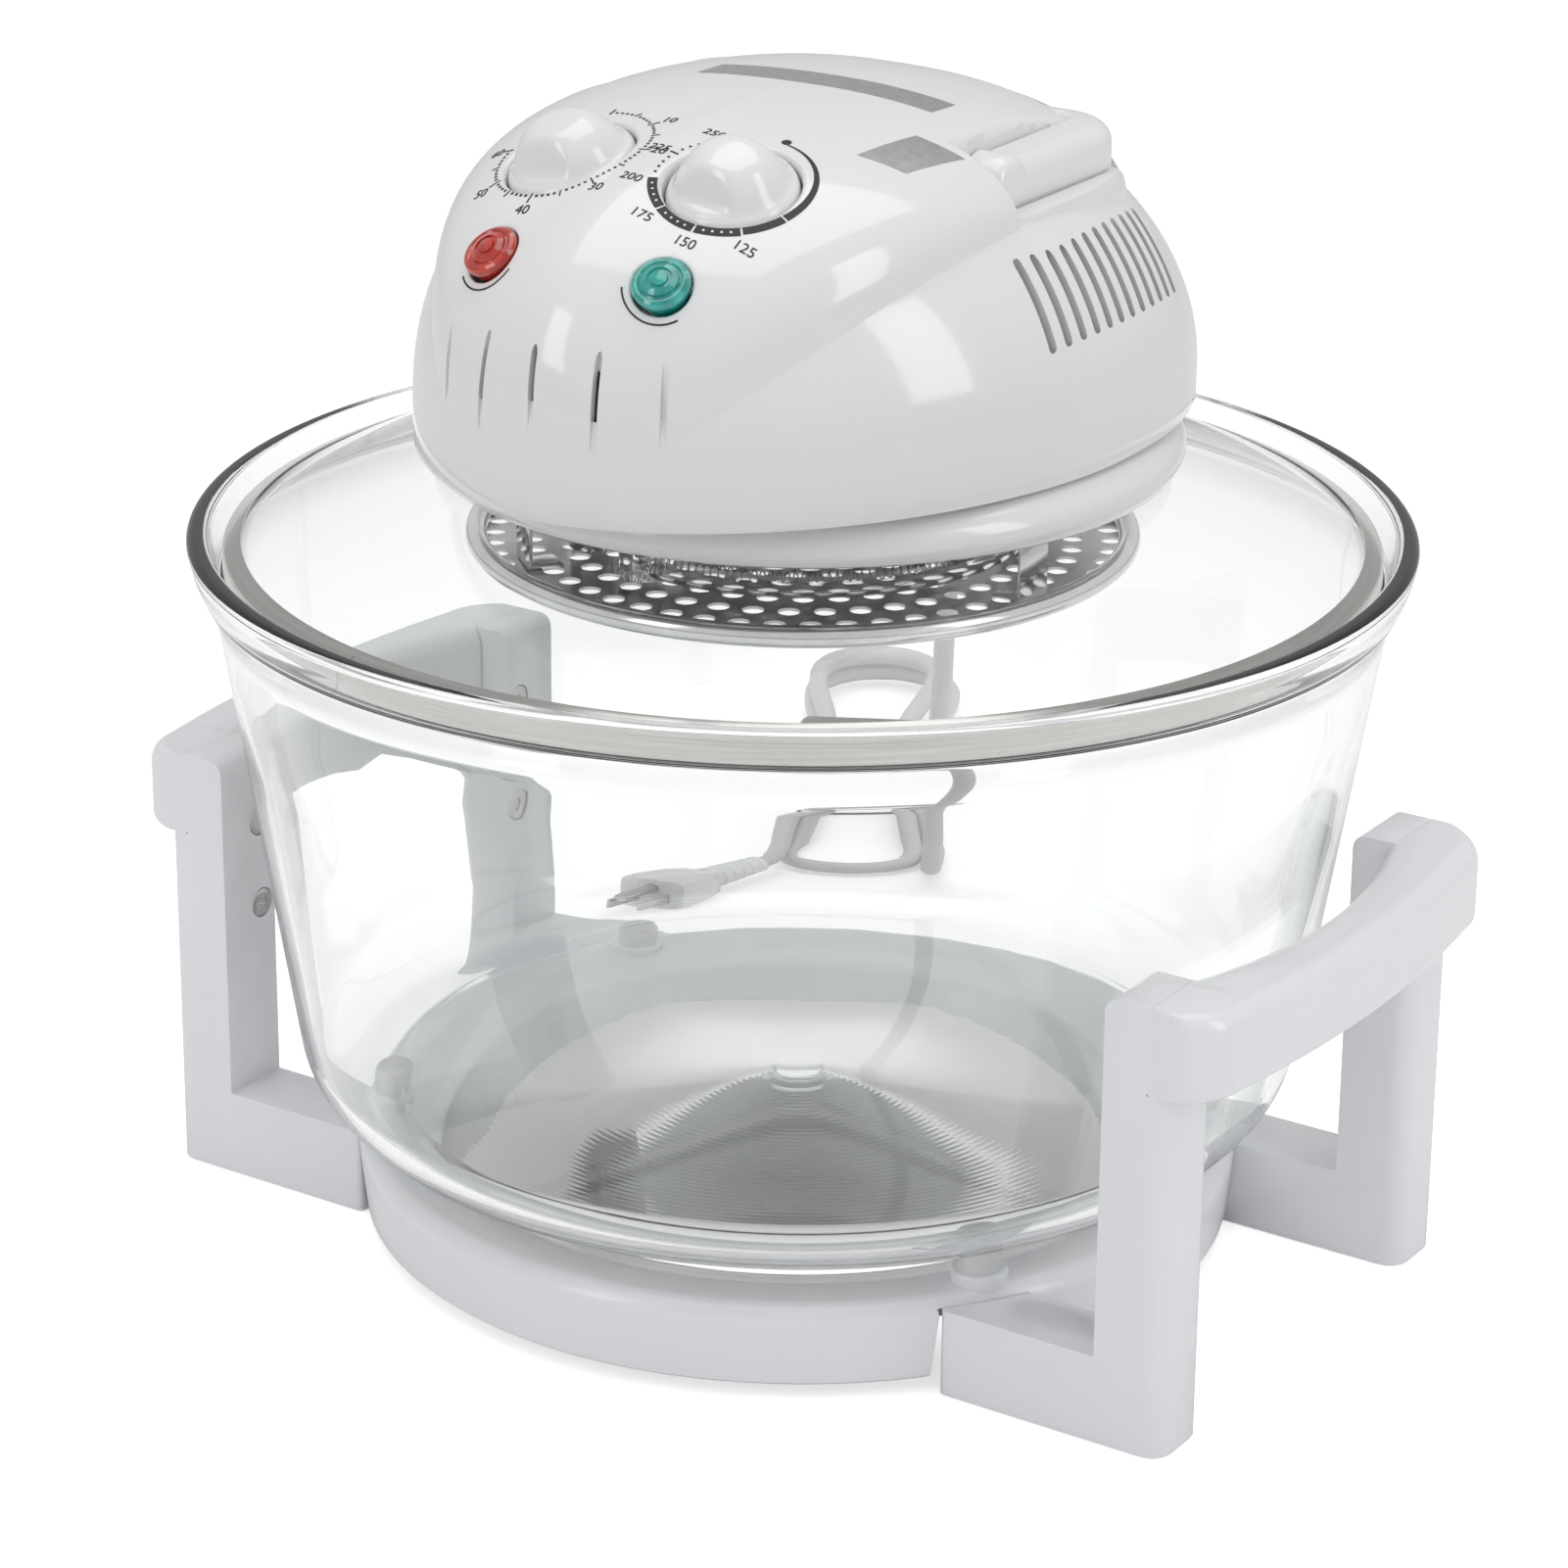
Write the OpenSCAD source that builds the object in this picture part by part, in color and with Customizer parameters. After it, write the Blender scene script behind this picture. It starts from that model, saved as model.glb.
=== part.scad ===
/* [Stand] */
// Reach of the base ring past the flat of the bowl's bottom
ring_margin = 8.65; // [7.5:0.05:11]
// Width of the base ring, hole to shoulder
ring_width = 28.5; // [25:0.5:34]
// Height of the base ring's top above the table
ring_top = 28; // [27:0.5:32]
// Height of the base ring's lower edge above the table
ring_foot = 4.5; // [3:0.5:7]
// Wall thickness of the white mouldings
wall = 2.5; // [2:0.1:3]
// Distance from the centre plane to the inner side of a leg
leg_in = 57; // [52:0.5:60]
// Width of a leg, front to back
leg_w = 22.5; // [20:0.5:25]
// Thickness of a post, inside to outside
post_t = 21; // [20:0.5:25]
// Height of the grips' flat underside
grip_z = 104; // [98:1:110]
// Depth of a grip, underside to top
grip_h = 24.5; // [20:0.5:28]
// How far a grip bulges out past its posts
grip_bulge = 17; // [10:1:24]
// Height of the pads that carry the bowl
pad_h = 7.3; // [5:0.1:10]

/* [Bowl] */
// Outer radius of the bowl's rim
bowl_r = 170; // [165:1:180]
// Height of the bowl
bowl_h = 170.1; // [160:1:185]
// Thickness of the bowl's glass
bowl_wall = 4.5; // [3.5:0.1:6]
// Lean of the bowl's side from upright
bowl_draft = 8.9; // [6:0.1:10]
// Radius of the bowl's bottom corner
bowl_corner_r = 25; // [18:1:32]
// Depth of the ledge for the lid below the rim
ledge_depth = 11.1; // [9:0.1:14]

/* [Lid] */
// Radius to which the lid's glass is domed
dome_r = 330; // [300:5:400]
// Thickness of the lid's glass
lid_t = 4; // [3:0.1:5]
// Radius of the hole in the lid's glass
lid_hole_r = 86; // [84:0.5:87]
// Running gap between the lid's band and the bowl
lid_gap = 1; // [0.5:0.1:2]
// Radius of the white collar at its bulge
collar_r = 105; // [103:0.5:108]
// Height of the head's lower edge above the glass at the collar
collar_h = 13.85; // [13:0.05:17]

/* [Head] */
// Half width of the head
head_a = 99.5; // [99.5:0.5:104]
// Reach of the head to the front
head_front = 128; // [124:1:134]
// Reach of the head to the back
head_back = 112; // [108:1:118]
// Height of the upright wall under the dome
head_wall_h = 9.8; // [6:0.1:12]
// Height of the body's dome above its wall
dome_h = 84; // [80:1:90]
// Half width of the top cover at its ridge
cover_a = 77; // [74:0.5:78]
// Reach of the top cover to the front
cover_front = 127; // [123:0.5:127]
// Reach of the top cover to the back
cover_back = 72; // [71:0.5:76]
// Rise of the top cover over the head's lower edge
cover_top = 91; // [89:0.1:93]
// Number of cooling slots in each side
slots = 12; // [6:1:12]
// Width of a cooling slot
slot_w = 2.4; // [1.5:0.1:3]
// Number of upright grooves in the front
grooves = 5; // [3:2:7]

/* [Controls] */
// Radius of the round wells in which the knobs turn
well_r = 20.9; // [19:0.1:22]
// Depth of the wells
well_depth = 7; // [5:0.5:9]
// Distance of each dial from the centre plane
dial_x = 25.5; // [24:0.5:27]
// Distance of the dials in front of the centre
dial_y = 73.8; // [70:0.2:76]
// Gap between a knob and its well
knob_gap = 0.6; // [0.4:0.1:1.2]
// Radius of the indicator lenses
lens_r = 7.2; // [6:0.1:8]

/* [Heater] */
// Radius of the ring of the heating tube
tube_ring_r = 60; // [56:0.5:62]
// Radius of the heating tube's glass
tube_r = 5.5; // [5:0.1:6]
// Radius of the guard's rolled rim
guard_r = 93; // [90:0.5:94]
// Diameter of the holes in the guard
guard_hole_d = 6; // [4:0.2:6.6]
// Depth of the guard below the reflector
guard_drop = 20; // [19:0.5:20.5]
// Radius of the impeller
impeller_r = 48; // [40:1:50]

/* [Flip handle] */
// Width of each arm of the flip handle
arm_w = 12; // [10:0.5:12.5]
// Half of the height of the flip handle's arms
arm_half = 8.2; // [7.4:0.2:8.6]
// Distance from the pivot to the back of the flip handle's grip
arm_reach = 68.5; // [67:0.5:69.5]
// Clearance round the flip handle
arm_gap = 0.6; // [0.5:0.1:1]

/* [Cord] */
// Diameter of the mains cord
cord_d = 7; // [6:0.1:7.2]
// Length of the straight runs of the hank
hank_run = 130; // [120:1:140]
// Step between neighbouring strands of the hank
hank_pitch = 7.8; // [7.8:0.1:9]
// Innermost fold radius of the hank
hank_fold_r = 21; // [21:0.5:24]

/* [Hidden] */

white = "whitesmoke";
steel = "silver";
dark_steel = "dimgray";
sectors = 56;
fit = 0.3;
seat = 0.1;

// Bowl and its seat
boss_h = 3;
bowl_z = ring_top + boss_h + pad_h + 0.2;
rim_z = bowl_z + bowl_h;
lip_h = 25;
cone_top_z = rim_z - 28.6;
seat_z = rim_z - ledge_depth;
ledge_in_r = bowl_r - 12.8;
ledge_out_r = bowl_r - 8.7;
bowl_flat_r = bowl_side(bowl_z + bowl_corner_r) - bowl_corner_r / cos(bowl_draft);

// Stand
ring_r = bowl_flat_r + ring_margin;
ring_hole_r = ring_r - ring_width;
arm_h = ring_top - wall - fit;
leg_out = leg_in + leg_w;
grip_top = grip_z + grip_h;
post_clear = 3.1;
post_in = sqrt(pow(bowl_side(grip_top) + post_clear, 2) - pow(leg_in, 2));
post_out = post_in + post_t;
post_nib = 13;
ring_step = ring_hole_r;
tongue_start = ring_step - 10;
ring_shoulder = 5;
ring_lip_r = ring_r - 16;
pad_ring_r = bowl_flat_r - 1;
pad_angle = 31.8;
pad_r = 6;
grip_arc_r = 408;
grip_end = 15;
grip_round = 5;
screw_zs = [grip_z - 24, grip_z + 1.6];
screw_y = leg_in + 5.5;

// Lid
band_r = ledge_out_r - lid_gap;
band_t = 0.7;
glass_edge_r = band_r - 1.5;
dome_z = seat_z + 1.3 - sqrt(pow(dome_r - lid_t, 2) - pow(glass_edge_r, 2));
collar_edge_r = collar_r - 4.3;
head_z = glass_top(collar_edge_r) + collar_h;
collar_in_r = lid_hole_r - 2;
spigot_r = collar_r - 11.5;

// Head
wall_z = head_z + head_wall_h;
top_z = head_z + cover_top;
crown_y = -1.7;
body_cap_z = top_z - 17;
casing_levels = [0, 0.22, 0.45, 0.66, 0.83, 0.94, 1];
loft_levels = [1, 0.985, 0.955, 0.9, 0.82, 0.7, 0.54, 0.36, 0.18];

// Flip handle
pivot_y = -5.5;
pivot_z = top_z - 19.7;
disc_r = arm_half + 0.6;
arm_in = cover_a - 20;
arm_out = arm_in + arm_w;
arm_x = arm_in + arm_w / 2;
channel_z = pivot_z - disc_r - arm_gap;
channel_in = arm_in - arm_gap;
channel_out = arm_out + arm_gap + 0.4;
channel_front = pivot_y - disc_r - arm_gap;
grip_in_y = pivot_y + arm_reach - 13;
channel_back = pivot_y + arm_reach + arm_gap;

// Controls
dial_tilt = 20.5;
dial_turn = 7;
dial_z = top_z - 10.7;
lens_x = 26.6;
lens_y = 107.3;
lens_z = top_z - 28.6;
lens_tilt = 38;

// Heater and drive
shield_z = head_z - 4;
reflector_z = glass_under(lid_hole_r) - 7.25;
reflector_t = 0.8;
reflector_r = lid_hole_r - 1.5;
flange_r = reflector_r + 7.5;
guard_z = reflector_z - guard_drop;
guard_t = 0.8;
rim_bar_r = 3;
tube_z = guard_z + guard_t + 8.2;
shaft_r = 3;
bore_r = shaft_r + fit;
motor_z = shield_z + 1.1;
stack_z = motor_z + 14;
stack_h = 16;
fan_z = stack_z + stack_h + 12;

// Cord: the lead's points from the boot at the head down to the hank
boot_x = -48;
boot_z = wall_z + 4;
boot_end = 134;
lead_points = [
  [-48, 134, 256], [-48, 148, 256], [-51, 165, 252], [-55, 179, 240], [-60, 189, 220],
  [-65, 194, 194], [-69, 197, 165], [-72, 199, 135], [-75, 201, 105], [-78, 204, 76],
  [-83, 209, 50], [-89, 218, 29], [-96, 229, 14]
];
tail_points = [[-154, 221, 11.6], [-152.5, 214.5, 10.9]];
plug_x = -152;
plug_y = 207.5;
plug_z = 10.6;
hank_centre = [-172, 308];
hank_dir = [-0.472, 0.8816];
hank_low = cord_d / 2 + 1.3;
hank_step = cord_d + 0.5;
hank_draw = 9;
hank_turns = 1.75;
cord_sides = 8;

// Helpers
function arc(c, r, a0, a1, n) =
  [for (i = [0 : n]) let(a = a0 + (a1 - a0) * i / n) [c[0] + r * cos(a), c[1] + r * sin(a)]];
function smooth(x) = x * x * (3 - 2 * x);
function round_box(x0, x1, y0, y1, r0, r1) = concat(
  arc([x0 + r0, y0 + r0], r0, 180, 270, 4), arc([x1 - r1, y0 + r1], r1, 270, 360, 4),
  arc([x1 - r1, y1 - r1], r1, 0, 90, 4), arc([x0 + r0, y1 - r0], r0, 90, 180, 4));
module tube(r, h, hole) {
  difference() {
    cylinder(r = r, h = h, $fn = 64);
    translate([0, 0, -1]) cylinder(r = hole, h = h + 2, $fn = 48);
  }
}
// Closed skin over rings that run once round, the last joined to the first
module ring_skin(rings) {
  n = len(rings[0]);
  m = len(rings);
  polyhedron(points = [for (r = rings, q = r) q], faces = [for (k = [0 : m - 1], i = [0 : n - 1], h = [0, 1])
    let(a = k * n + i, b = k * n + (i + 1) % n, c = (k + 1) % m * n + i, d = (k + 1) % m * n + (i + 1) % n)
    h == 0 ? [a, d, b] : [a, c, d]], convexity = 6);
}
module at_corner(sx, sy) {
  mirror([sx < 0 ? 1 : 0, 0, 0]) mirror([0, sy < 0 ? 1 : 0, 0]) children();
}

// Closed skin over rings of equally many points, each ring turning by the right hand about the way on
module skin(rings) {
  n = len(rings[0]);
  m = len(rings);
  caps = [[for (i = [0 : n - 1]) i], [for (i = [0 : n - 1]) m * n - 1 - i]];
  sides = [for (k = [0 : m - 2], i = [0 : n - 1], h = [0, 1])
    let(a = k * n + i, b = k * n + (i + 1) % n) h == 0 ? [a, b + n, b] : [a, a + n, b + n]];
  polyhedron(points = [for (r = rings, q = r) q], faces = concat(caps, sides), convexity = 6);
}

// Bowl outline
function bowl_side(z) = bowl_r - 8.6 + (z - cone_top_z) * tan(bowl_draft);
function bowl_outside() = concat([[0, bowl_z]],
  arc([bowl_flat_r, bowl_z + bowl_corner_r], bowl_corner_r, -90, -bowl_draft, 7),
  [for (i = [0 : 5]) let(z = rim_z - lip_h + i * (lip_h - 4) / 5)
    [bowl_side(rim_z - lip_h) + (bowl_r - 0.6 - bowl_side(rim_z - lip_h)) * smooth(i / 5), z]],
  [[bowl_r, rim_z - 1.6], [bowl_r - 1, rim_z - 0.4], [bowl_r - 2.4, rim_z]]);
function bowl_inside() = let(w = bowl_wall / cos(bowl_draft)) concat(
  [[bowl_r - 5, rim_z], [bowl_r - 6.4, rim_z - 1.4], [ledge_out_r, seat_z], [ledge_in_r, seat_z],
   [ledge_in_r - 0.6, seat_z - 12], [bowl_side(seat_z - 27) - w, seat_z - 27]],
  arc([bowl_flat_r, bowl_z + bowl_corner_r], bowl_corner_r - bowl_wall, -bowl_draft, -90, 7),
  [[0, bowl_z + bowl_wall]]);

// Lid outline
function glass_top(r) = dome_z + sqrt(pow(dome_r, 2) - r * r);
function glass_under(r) = dome_z + sqrt(pow(dome_r - lid_t, 2) - r * r);

// Head outline in plan and in height
function oval(a, b, p, t) = pow(pow(abs(cos(t) / a), p) + pow(abs(sin(t) / b), p), -1 / p);
function body_plan(t, w) =
  (sin(t) < 0 ? oval(head_a, head_front, 1.82, t) : oval(head_a, head_back, 2.35, t)) - w;
function cover_plan(t, w) =
  (sin(t) < 0 ? oval(cover_a, cover_front, 2.2, t) : oval(cover_a, cover_back, 3.7, t)) - w;
function bulge(f, n) = pow(1 - pow(min(f, 1), n), 1 / n);
function body_n(t) = 2.05 - 0.25 * sin(t);
function cover_n(t) = 2.22 + 0.38 * max(0, -sin(t)) - 0.27 * pow(max(0, sin(t)), 1.5);
function body_height(x, y, w) = let(t = atan2(y, x))
  wall_z + (dome_h - w) * bulge(norm([x, y]) / body_plan(t, w), body_n(t));
function body_point(t, f, w) = let(r = body_plan(t, w) * f)
  [r * cos(t), r * sin(t), min(body_cap_z - w, wall_z + (dome_h - w) * bulge(f, body_n(t)))];
function cover_point(t, f, w) =
  let(r = cover_plan(t, w), x = r * cos(t), y = r * sin(t), foot = body_height(x, y, w))
  [x * f, crown_y * (1 - f) + y * f, foot + (top_z - w - foot) * bulge(f, cover_n(t))];
function plan_ring(t, w) = let(r = body_plan(t, w)) [r * cos(t), r * sin(t)];

// A solid dome with a flat underside at z0, its points given by a function of angle and level
module loft(z0, point, crown) {
  n = sectors;
  m = len(loft_levels);
  angles = [for (i = [0 : n - 1]) 360 * i / n];
  foot = [for (t = angles) let(q = point(t, 1)) [q[0], q[1], z0]];
  body = [for (f = loft_levels, t = angles) point(t, f)];
  under = [for (i = [0 : n - 1]) [i, (i + 1) % n, (m + 1) * n]];
  sides = [for (k = [0 : m - 1], i = [0 : n - 1], h = [0, 1])
    let(a = k * n + i, b = k * n + (i + 1) % n) h == 0 ? [a, a + n, b] : [b, a + n, b + n]];
  top = [for (i = [0 : n - 1]) [m * n + (i + 1) % n, m * n + i, (m + 1) * n + 1]];
  polyhedron(points = concat(foot, body, [[0, 0, z0], crown]),
    faces = concat(under, sides, top), convexity = 6);
}
module body_solid(w) {
  loft(head_z - w, function(t, f) body_point(t, f, w), [0, 0, body_cap_z - w]);
}
module cover_solid(w) {
  loft(wall_z + 4 - w, function(t, f) cover_point(t, f, w), [0, crown_y, top_z - w]);
}
module cover_prism(grow) {
  translate([0, 0, wall_z + fit]) linear_extrude(height = 120)
    polygon([for (i = [0 : sectors - 1]) let(t = 360 * i / sectors, r = cover_plan(t, -grow))
      [r * cos(t), r * sin(t)]]);
}
module on_dial(side) {
  translate([side * dial_x, -dial_y, dial_z]) rotate([dial_tilt, side * dial_turn, 0]) children();
}
module on_lens(side) {
  translate([side * lens_x, -lens_y, lens_z]) rotate([lens_tilt, side * 12, 0]) children();
}

// Stand

// Hollow white ring, open below, with a notch for each leg and a boss for each pad
module base_ring() {
  r1 = ring_r - ring_shoulder;
  z1 = ring_top - ring_shoulder;
  outside = concat([[ring_r - 2, ring_foot]], arc([r1, z1], ring_shoulder, 0, 90, 5),
    [[ring_lip_r, ring_top], [ring_hole_r, ring_top - 4], [ring_hole_r, ring_foot + 4]]);
  inside = concat([[ring_hole_r + wall, ring_foot + 4], [ring_hole_r + wall, ring_top - 4 - wall],
    [ring_lip_r, ring_top - wall]], arc([r1, z1], ring_shoulder - wall, 90, 0, 4),
    [[ring_r - 2 - wall, ring_foot]]);
  color(white) difference() {
    union() {
      rotate_extrude($fn = 96) polygon(concat(outside, inside));
      for (sx = [-1, 1], sy = [-1, 1]) at_corner(sx, sy)
        rotate([0, 0, pad_angle]) translate([pad_ring_r, 0, ring_top - wall + 0.5])
          cylinder(r = pad_r + 2, h = wall - 0.5 + boss_h, $fn = 32);
    }
    for (sx = [-1, 1], sy = [-1, 1]) at_corner(sx, sy) {
      translate([ring_step - 6, leg_in - fit, 0]) cube([40, leg_w + 2 * fit, arm_h + seat]);
      translate([ring_step - 4, screw_y, arm_h]) cylinder(r = 1.9, h = 4.5, $fn = 24);
    }
  }
}

// One leg with its arm into the ring and its post, hollow from below
module leg(sx, sy) {
  plan = round_box(ring_step, post_out, leg_in, leg_out, 2, 6);
  hollow = round_box(ring_step + wall, post_out - wall, leg_in + wall, leg_out - wall, 1, 3.5);
  shelf_x = post_in + post_nib;
  outline = concat([[ring_step, 0], [post_out, 0], [post_out, grip_z], [shelf_x, grip_z],
    [shelf_x, grip_top]], arc([post_in + 4, grip_top - 4], 4, 90, 180, 5),
    [[post_in, arm_h], [ring_step, arm_h]]);
  cavity = [[ring_step + wall, -1], [post_out - wall, -1], [post_out - wall, grip_z + 1],
    [shelf_x + 0.1, grip_z + 1], [shelf_x + 0.1, grip_z - wall], [post_in + wall, grip_z - wall],
    [post_in + wall, arm_h - wall], [ring_step + wall, arm_h - wall]];
  color(white) at_corner(sx, sy) difference() {
    union() {
      intersection() {
        linear_extrude(height = grip_top + 1) polygon(plan);
        translate([0, leg_out + 1, 0]) rotate([90, 0, 0]) linear_extrude(height = leg_w + 2)
          polygon(outline);
      }
      translate([tongue_start, leg_in + wall, arm_h - 6])
        cube([ring_step - tongue_start + 1, 9, 6]);
    }
    intersection() {
      translate([0, 0, -1]) linear_extrude(height = grip_top) polygon(hollow);
      translate([0, leg_out + 1, 0]) rotate([90, 0, 0]) linear_extrude(height = leg_w + 2)
        polygon(cavity);
    }
    for (z = screw_zs) translate([post_in - 1, screw_y, z]) rotate([0, 90, 0]) {
      cylinder(r = 2.1, h = post_nib + 2, $fn = 24);
      cylinder(r = 4.6, h = 2.4, $fn = 32);
    }
    translate([ring_step - 4, screw_y, -1]) cylinder(r = 2.2, h = arm_h + 2, $fn = 24);
  }
}
module leg_front_right() { leg(1, -1); }
module leg_front_left() { leg(-1, -1); }
module leg_rear_right() { leg(1, 1); }
module leg_rear_left() { leg(-1, 1); }

// Curved grip across the two posts of one side, with a tongue down into each post
function grip_ys() = concat([-leg_out, -leg_out + 1.5, -leg_out + 4.5, -leg_out + 9, -leg_out + grip_end,
  -leg_in - 0.01, 0.2 - leg_in], [for (i = [-5 : 5]) i * (leg_in - 8) / 5],
  [leg_in - 0.2, leg_in + 0.01, leg_out - grip_end, leg_out - 9, leg_out - 4.5, leg_out - 1.5, leg_out]);
function grip_out(y) = let(mid = post_out + grip_bulge, e = max(0, abs(y) - leg_out + grip_end),
  y0 = min(abs(y), leg_out - grip_end), x = mid - y0 * y0 / (2 * grip_arc_r))
  post_out + (x - post_out) * sqrt(max(0, 1 - pow(e / grip_end, 2)));
function grip_in(y) = abs(y) < leg_in ? sqrt(pow(bowl_r - 4, 2) - y * y) : post_in + post_nib;
function grip_section(y) = let(x0 = grip_in(y), x1 = grip_out(y), q = abs(y) < leg_in ? grip_round : 0.3,
    out = min(grip_round, (x1 - x0) / 2 - 0.2))
  [for (v = concat([[x0, grip_z], [x1 - 1.5, grip_z], [x1, grip_z + 1.5]],
    arc([x1 - out, grip_top - out], out, 0, 90, 5), arc([x0 + q, grip_top - q], q, 90, 180, 4)))
    [v[0], y, v[1]]];
module grip(side) {
  tongue_x = post_in + post_nib + 0.4;
  color(white) mirror([side < 0 ? 1 : 0, 0, 0]) difference() {
    union() {
      skin([for (y = grip_ys()) grip_section(-y)]);
      for (s = [-1, 1]) translate([tongue_x, s * (leg_in + leg_w / 2) - 7, grip_z - 34])
        cube([post_out - wall - tongue_x - 0.4, 14, 35]);
    }
    for (s = [-1, 1], z = screw_zs) translate([tongue_x - 3, s * screw_y, z]) rotate([0, 90, 0])
      cylinder(r = 2, h = 11, $fn = 24);
  }
}
module handle_right() { grip(1); }
module handle_left() { grip(-1); }

// Screws that hold the grips to the posts and the legs to the ring
module handle_screws() {
  color(steel) for (sx = [-1, 1], sy = [-1, 1]) at_corner(sx, sy) {
    for (z = screw_zs) translate([post_in + 0.3, screw_y, z]) rotate([0, 90, 0]) rotate_extrude($fn = 32)
      polygon([[0, 0.6], [1.2, 0.6], [1.2, 0], [4.1, 0], [4.1, 1], [1.8, 1], [1.8, post_nib + 3], [0, post_nib + 4.6]]);
    translate([ring_step - 4, screw_y, arm_h - 6.8]) rotate_extrude($fn = 32)
      polygon([[0, -1.8], [3.6, -1.8], [3.6, 0.7], [1.7, 0.7], [1.7, 10.5], [0, 11]]);
  }
}

// Four soft pads between the ring and the bowl
module bowl_pads() {
  color("gainsboro") for (sx = [-1, 1], sy = [-1, 1]) at_corner(sx, sy)
    rotate([0, 0, pad_angle]) translate([pad_ring_r, 0, ring_top + boss_h]) rotate_extrude($fn = 40)
      polygon([[0, 0], [pad_r, 0], [pad_r, pad_h - 1.5], [pad_r - 1, pad_h - 0.3], [pad_r - 2.2, pad_h],
        [0, pad_h]]);
}

// Bowl
module glass_bowl() {
  color("lightcyan", 0.4) rotate_extrude($fn = 128) polygon(concat(bowl_outside(), bowl_inside()));
}

// Lid

// Domed ring of glass
module lid_glass() {
  rs = [for (i = [0 : 12]) lid_hole_r + (glass_edge_r - lid_hole_r) * i / 12];
  color("lightcyan", 0.4) rotate_extrude($fn = 128)
    polygon(concat([for (r = rs) [r, glass_top(r)]],
      [for (i = [12 : -1 : 0]) [rs[i], glass_under(rs[i])]]));
}

// Steel band folded over the edge of the glass
module lid_band() {
  a = band_r - 5.2;
  b = band_r - 2;
  c = band_r - band_t;
  color(steel) rotate_extrude($fn = 128) polygon([
    [band_r, seat_z + 0.7], [band_r - 0.5, seat_z + 0.2], [b, seat_z + 0.2],
    [a, glass_under(a) - 1.1], [a, glass_under(a) - seat], [b, glass_under(b) - seat], [c, seat_z + 0.95],
    [c, glass_top(glass_edge_r) + 0.4], [b, glass_top(b) + seat], [a, glass_top(a) + seat],
    [a, glass_top(a) + 0.8], [b, glass_top(b) + 0.9], [band_r, glass_top(glass_edge_r) + 0.3]]);
}

// White ring between the glass and the head
module lid_collar() {
  edge = collar_edge_r;
  color(white) rotate_extrude($fn = 96) polygon([
    [collar_in_r + 4, glass_top(collar_in_r + 4) + seat], [edge, glass_top(edge) + seat],
    [collar_r - 1.4, glass_top(edge) + 1.8], [collar_r, head_z - 9.2], [collar_r - 0.4, head_z - 5.8],
    [collar_r - 2.2, head_z - 2.7], [collar_r - 5.5, head_z - 0.8], [spigot_r, head_z - 0.2],
    [spigot_r, head_z + 7], [spigot_r - wall, head_z + 7], [spigot_r - wall, shield_z],
    [collar_in_r + 1.5, shield_z], [collar_in_r + 1.5, glass_top(lid_hole_r) + 3],
    [collar_in_r + 4, glass_top(collar_in_r + 4) + 2]]);
}

// Soft ring between the glass and the reflector's flange
module lid_gasket() {
  a = lid_hole_r + 0.5;
  b = flange_r - 0.5;
  color("dimgray") rotate_extrude($fn = 96) polygon([
    [a, glass_under(a) - seat], [a, glass_under(a) - 1.5], [b, glass_under(b) - 1.5],
    [b, glass_under(b) - seat]]);
}

// Head

// Flat underside of the head round the collar
module head_base() {
  color(white) difference() {
    translate([0, 0, head_z + 0.6]) linear_extrude(height = wall)
      polygon([for (i = [0 : sectors - 1]) plan_ring(360 * i / sectors, wall + 0.4)]);
    cylinder(r = spigot_r + fit, h = head_z + 20, $fn = 96);
  }
}

// Lower casing: upright wall and dome, open at the top along the ridge, with slots in both sides
function casing_section(t) =
  let(c = cover_plan(t, -0.15), out = body_plan(t, 0), in = body_plan(t, wall), n = body_n(t), m = len(casing_levels))
  [for (v = concat(
    [for (s = casing_levels) let(r = c + (out - c) * s) [r, wall_z + dome_h * bulge(r / out, n)]],
    [[out, head_z], [in, head_z]],
    [for (i = [m - 1 : -1 : 0]) let(r = c + (in - c) * casing_levels[i])
      [r, wall_z + (dome_h - wall) * bulge(r / in, n)]])) [v[0] * cos(t), v[0] * sin(t), v[1]]];
module head_housing() {
  slot_y = -24;
  slot_pitch = 6.5;
  color(white) difference() {
    ring_skin([for (i = [0 : sectors - 1]) casing_section(360 * i / sectors)]);
    for (side = [-1, 1], k = [0 : slots - 1]) let(y = slot_y + k * slot_pitch)
      translate([side * (head_a - 14 - 0.0022 * y * y), y, wall_z + 34])
        rotate([0, side * 35, 0]) cube([24, slot_w, 20], center = true);
    translate([boot_x, 60, boot_z]) rotate([-90, 0, 0]) cylinder(r = 6.2, h = 80, $fn = 32);
  }
}

// Round-ended U between the two side channels, as a plan; grow widens it all round
module channel_plan(grow) {
  r = 18;
  q = 9;
  difference() {
    polygon(concat([[-channel_out - grow, channel_front - grow], [channel_out + grow, channel_front - grow]],
      arc([channel_out + grow - r, channel_back + grow - r], r, 0, 90, 6),
      arc([r - channel_out - grow, channel_back + grow - r], r, 90, 180, 6)));
    polygon(concat([[grow - channel_in, channel_front - 60], [channel_in - grow, channel_front - 60]],
      arc([channel_in - grow - q, grip_in_y - arm_gap - grow - q], q, 0, 90, 5),
      arc([q - channel_in + grow, grip_in_y - arm_gap - grow - q], q, 90, 180, 5)));
  }
}

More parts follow.
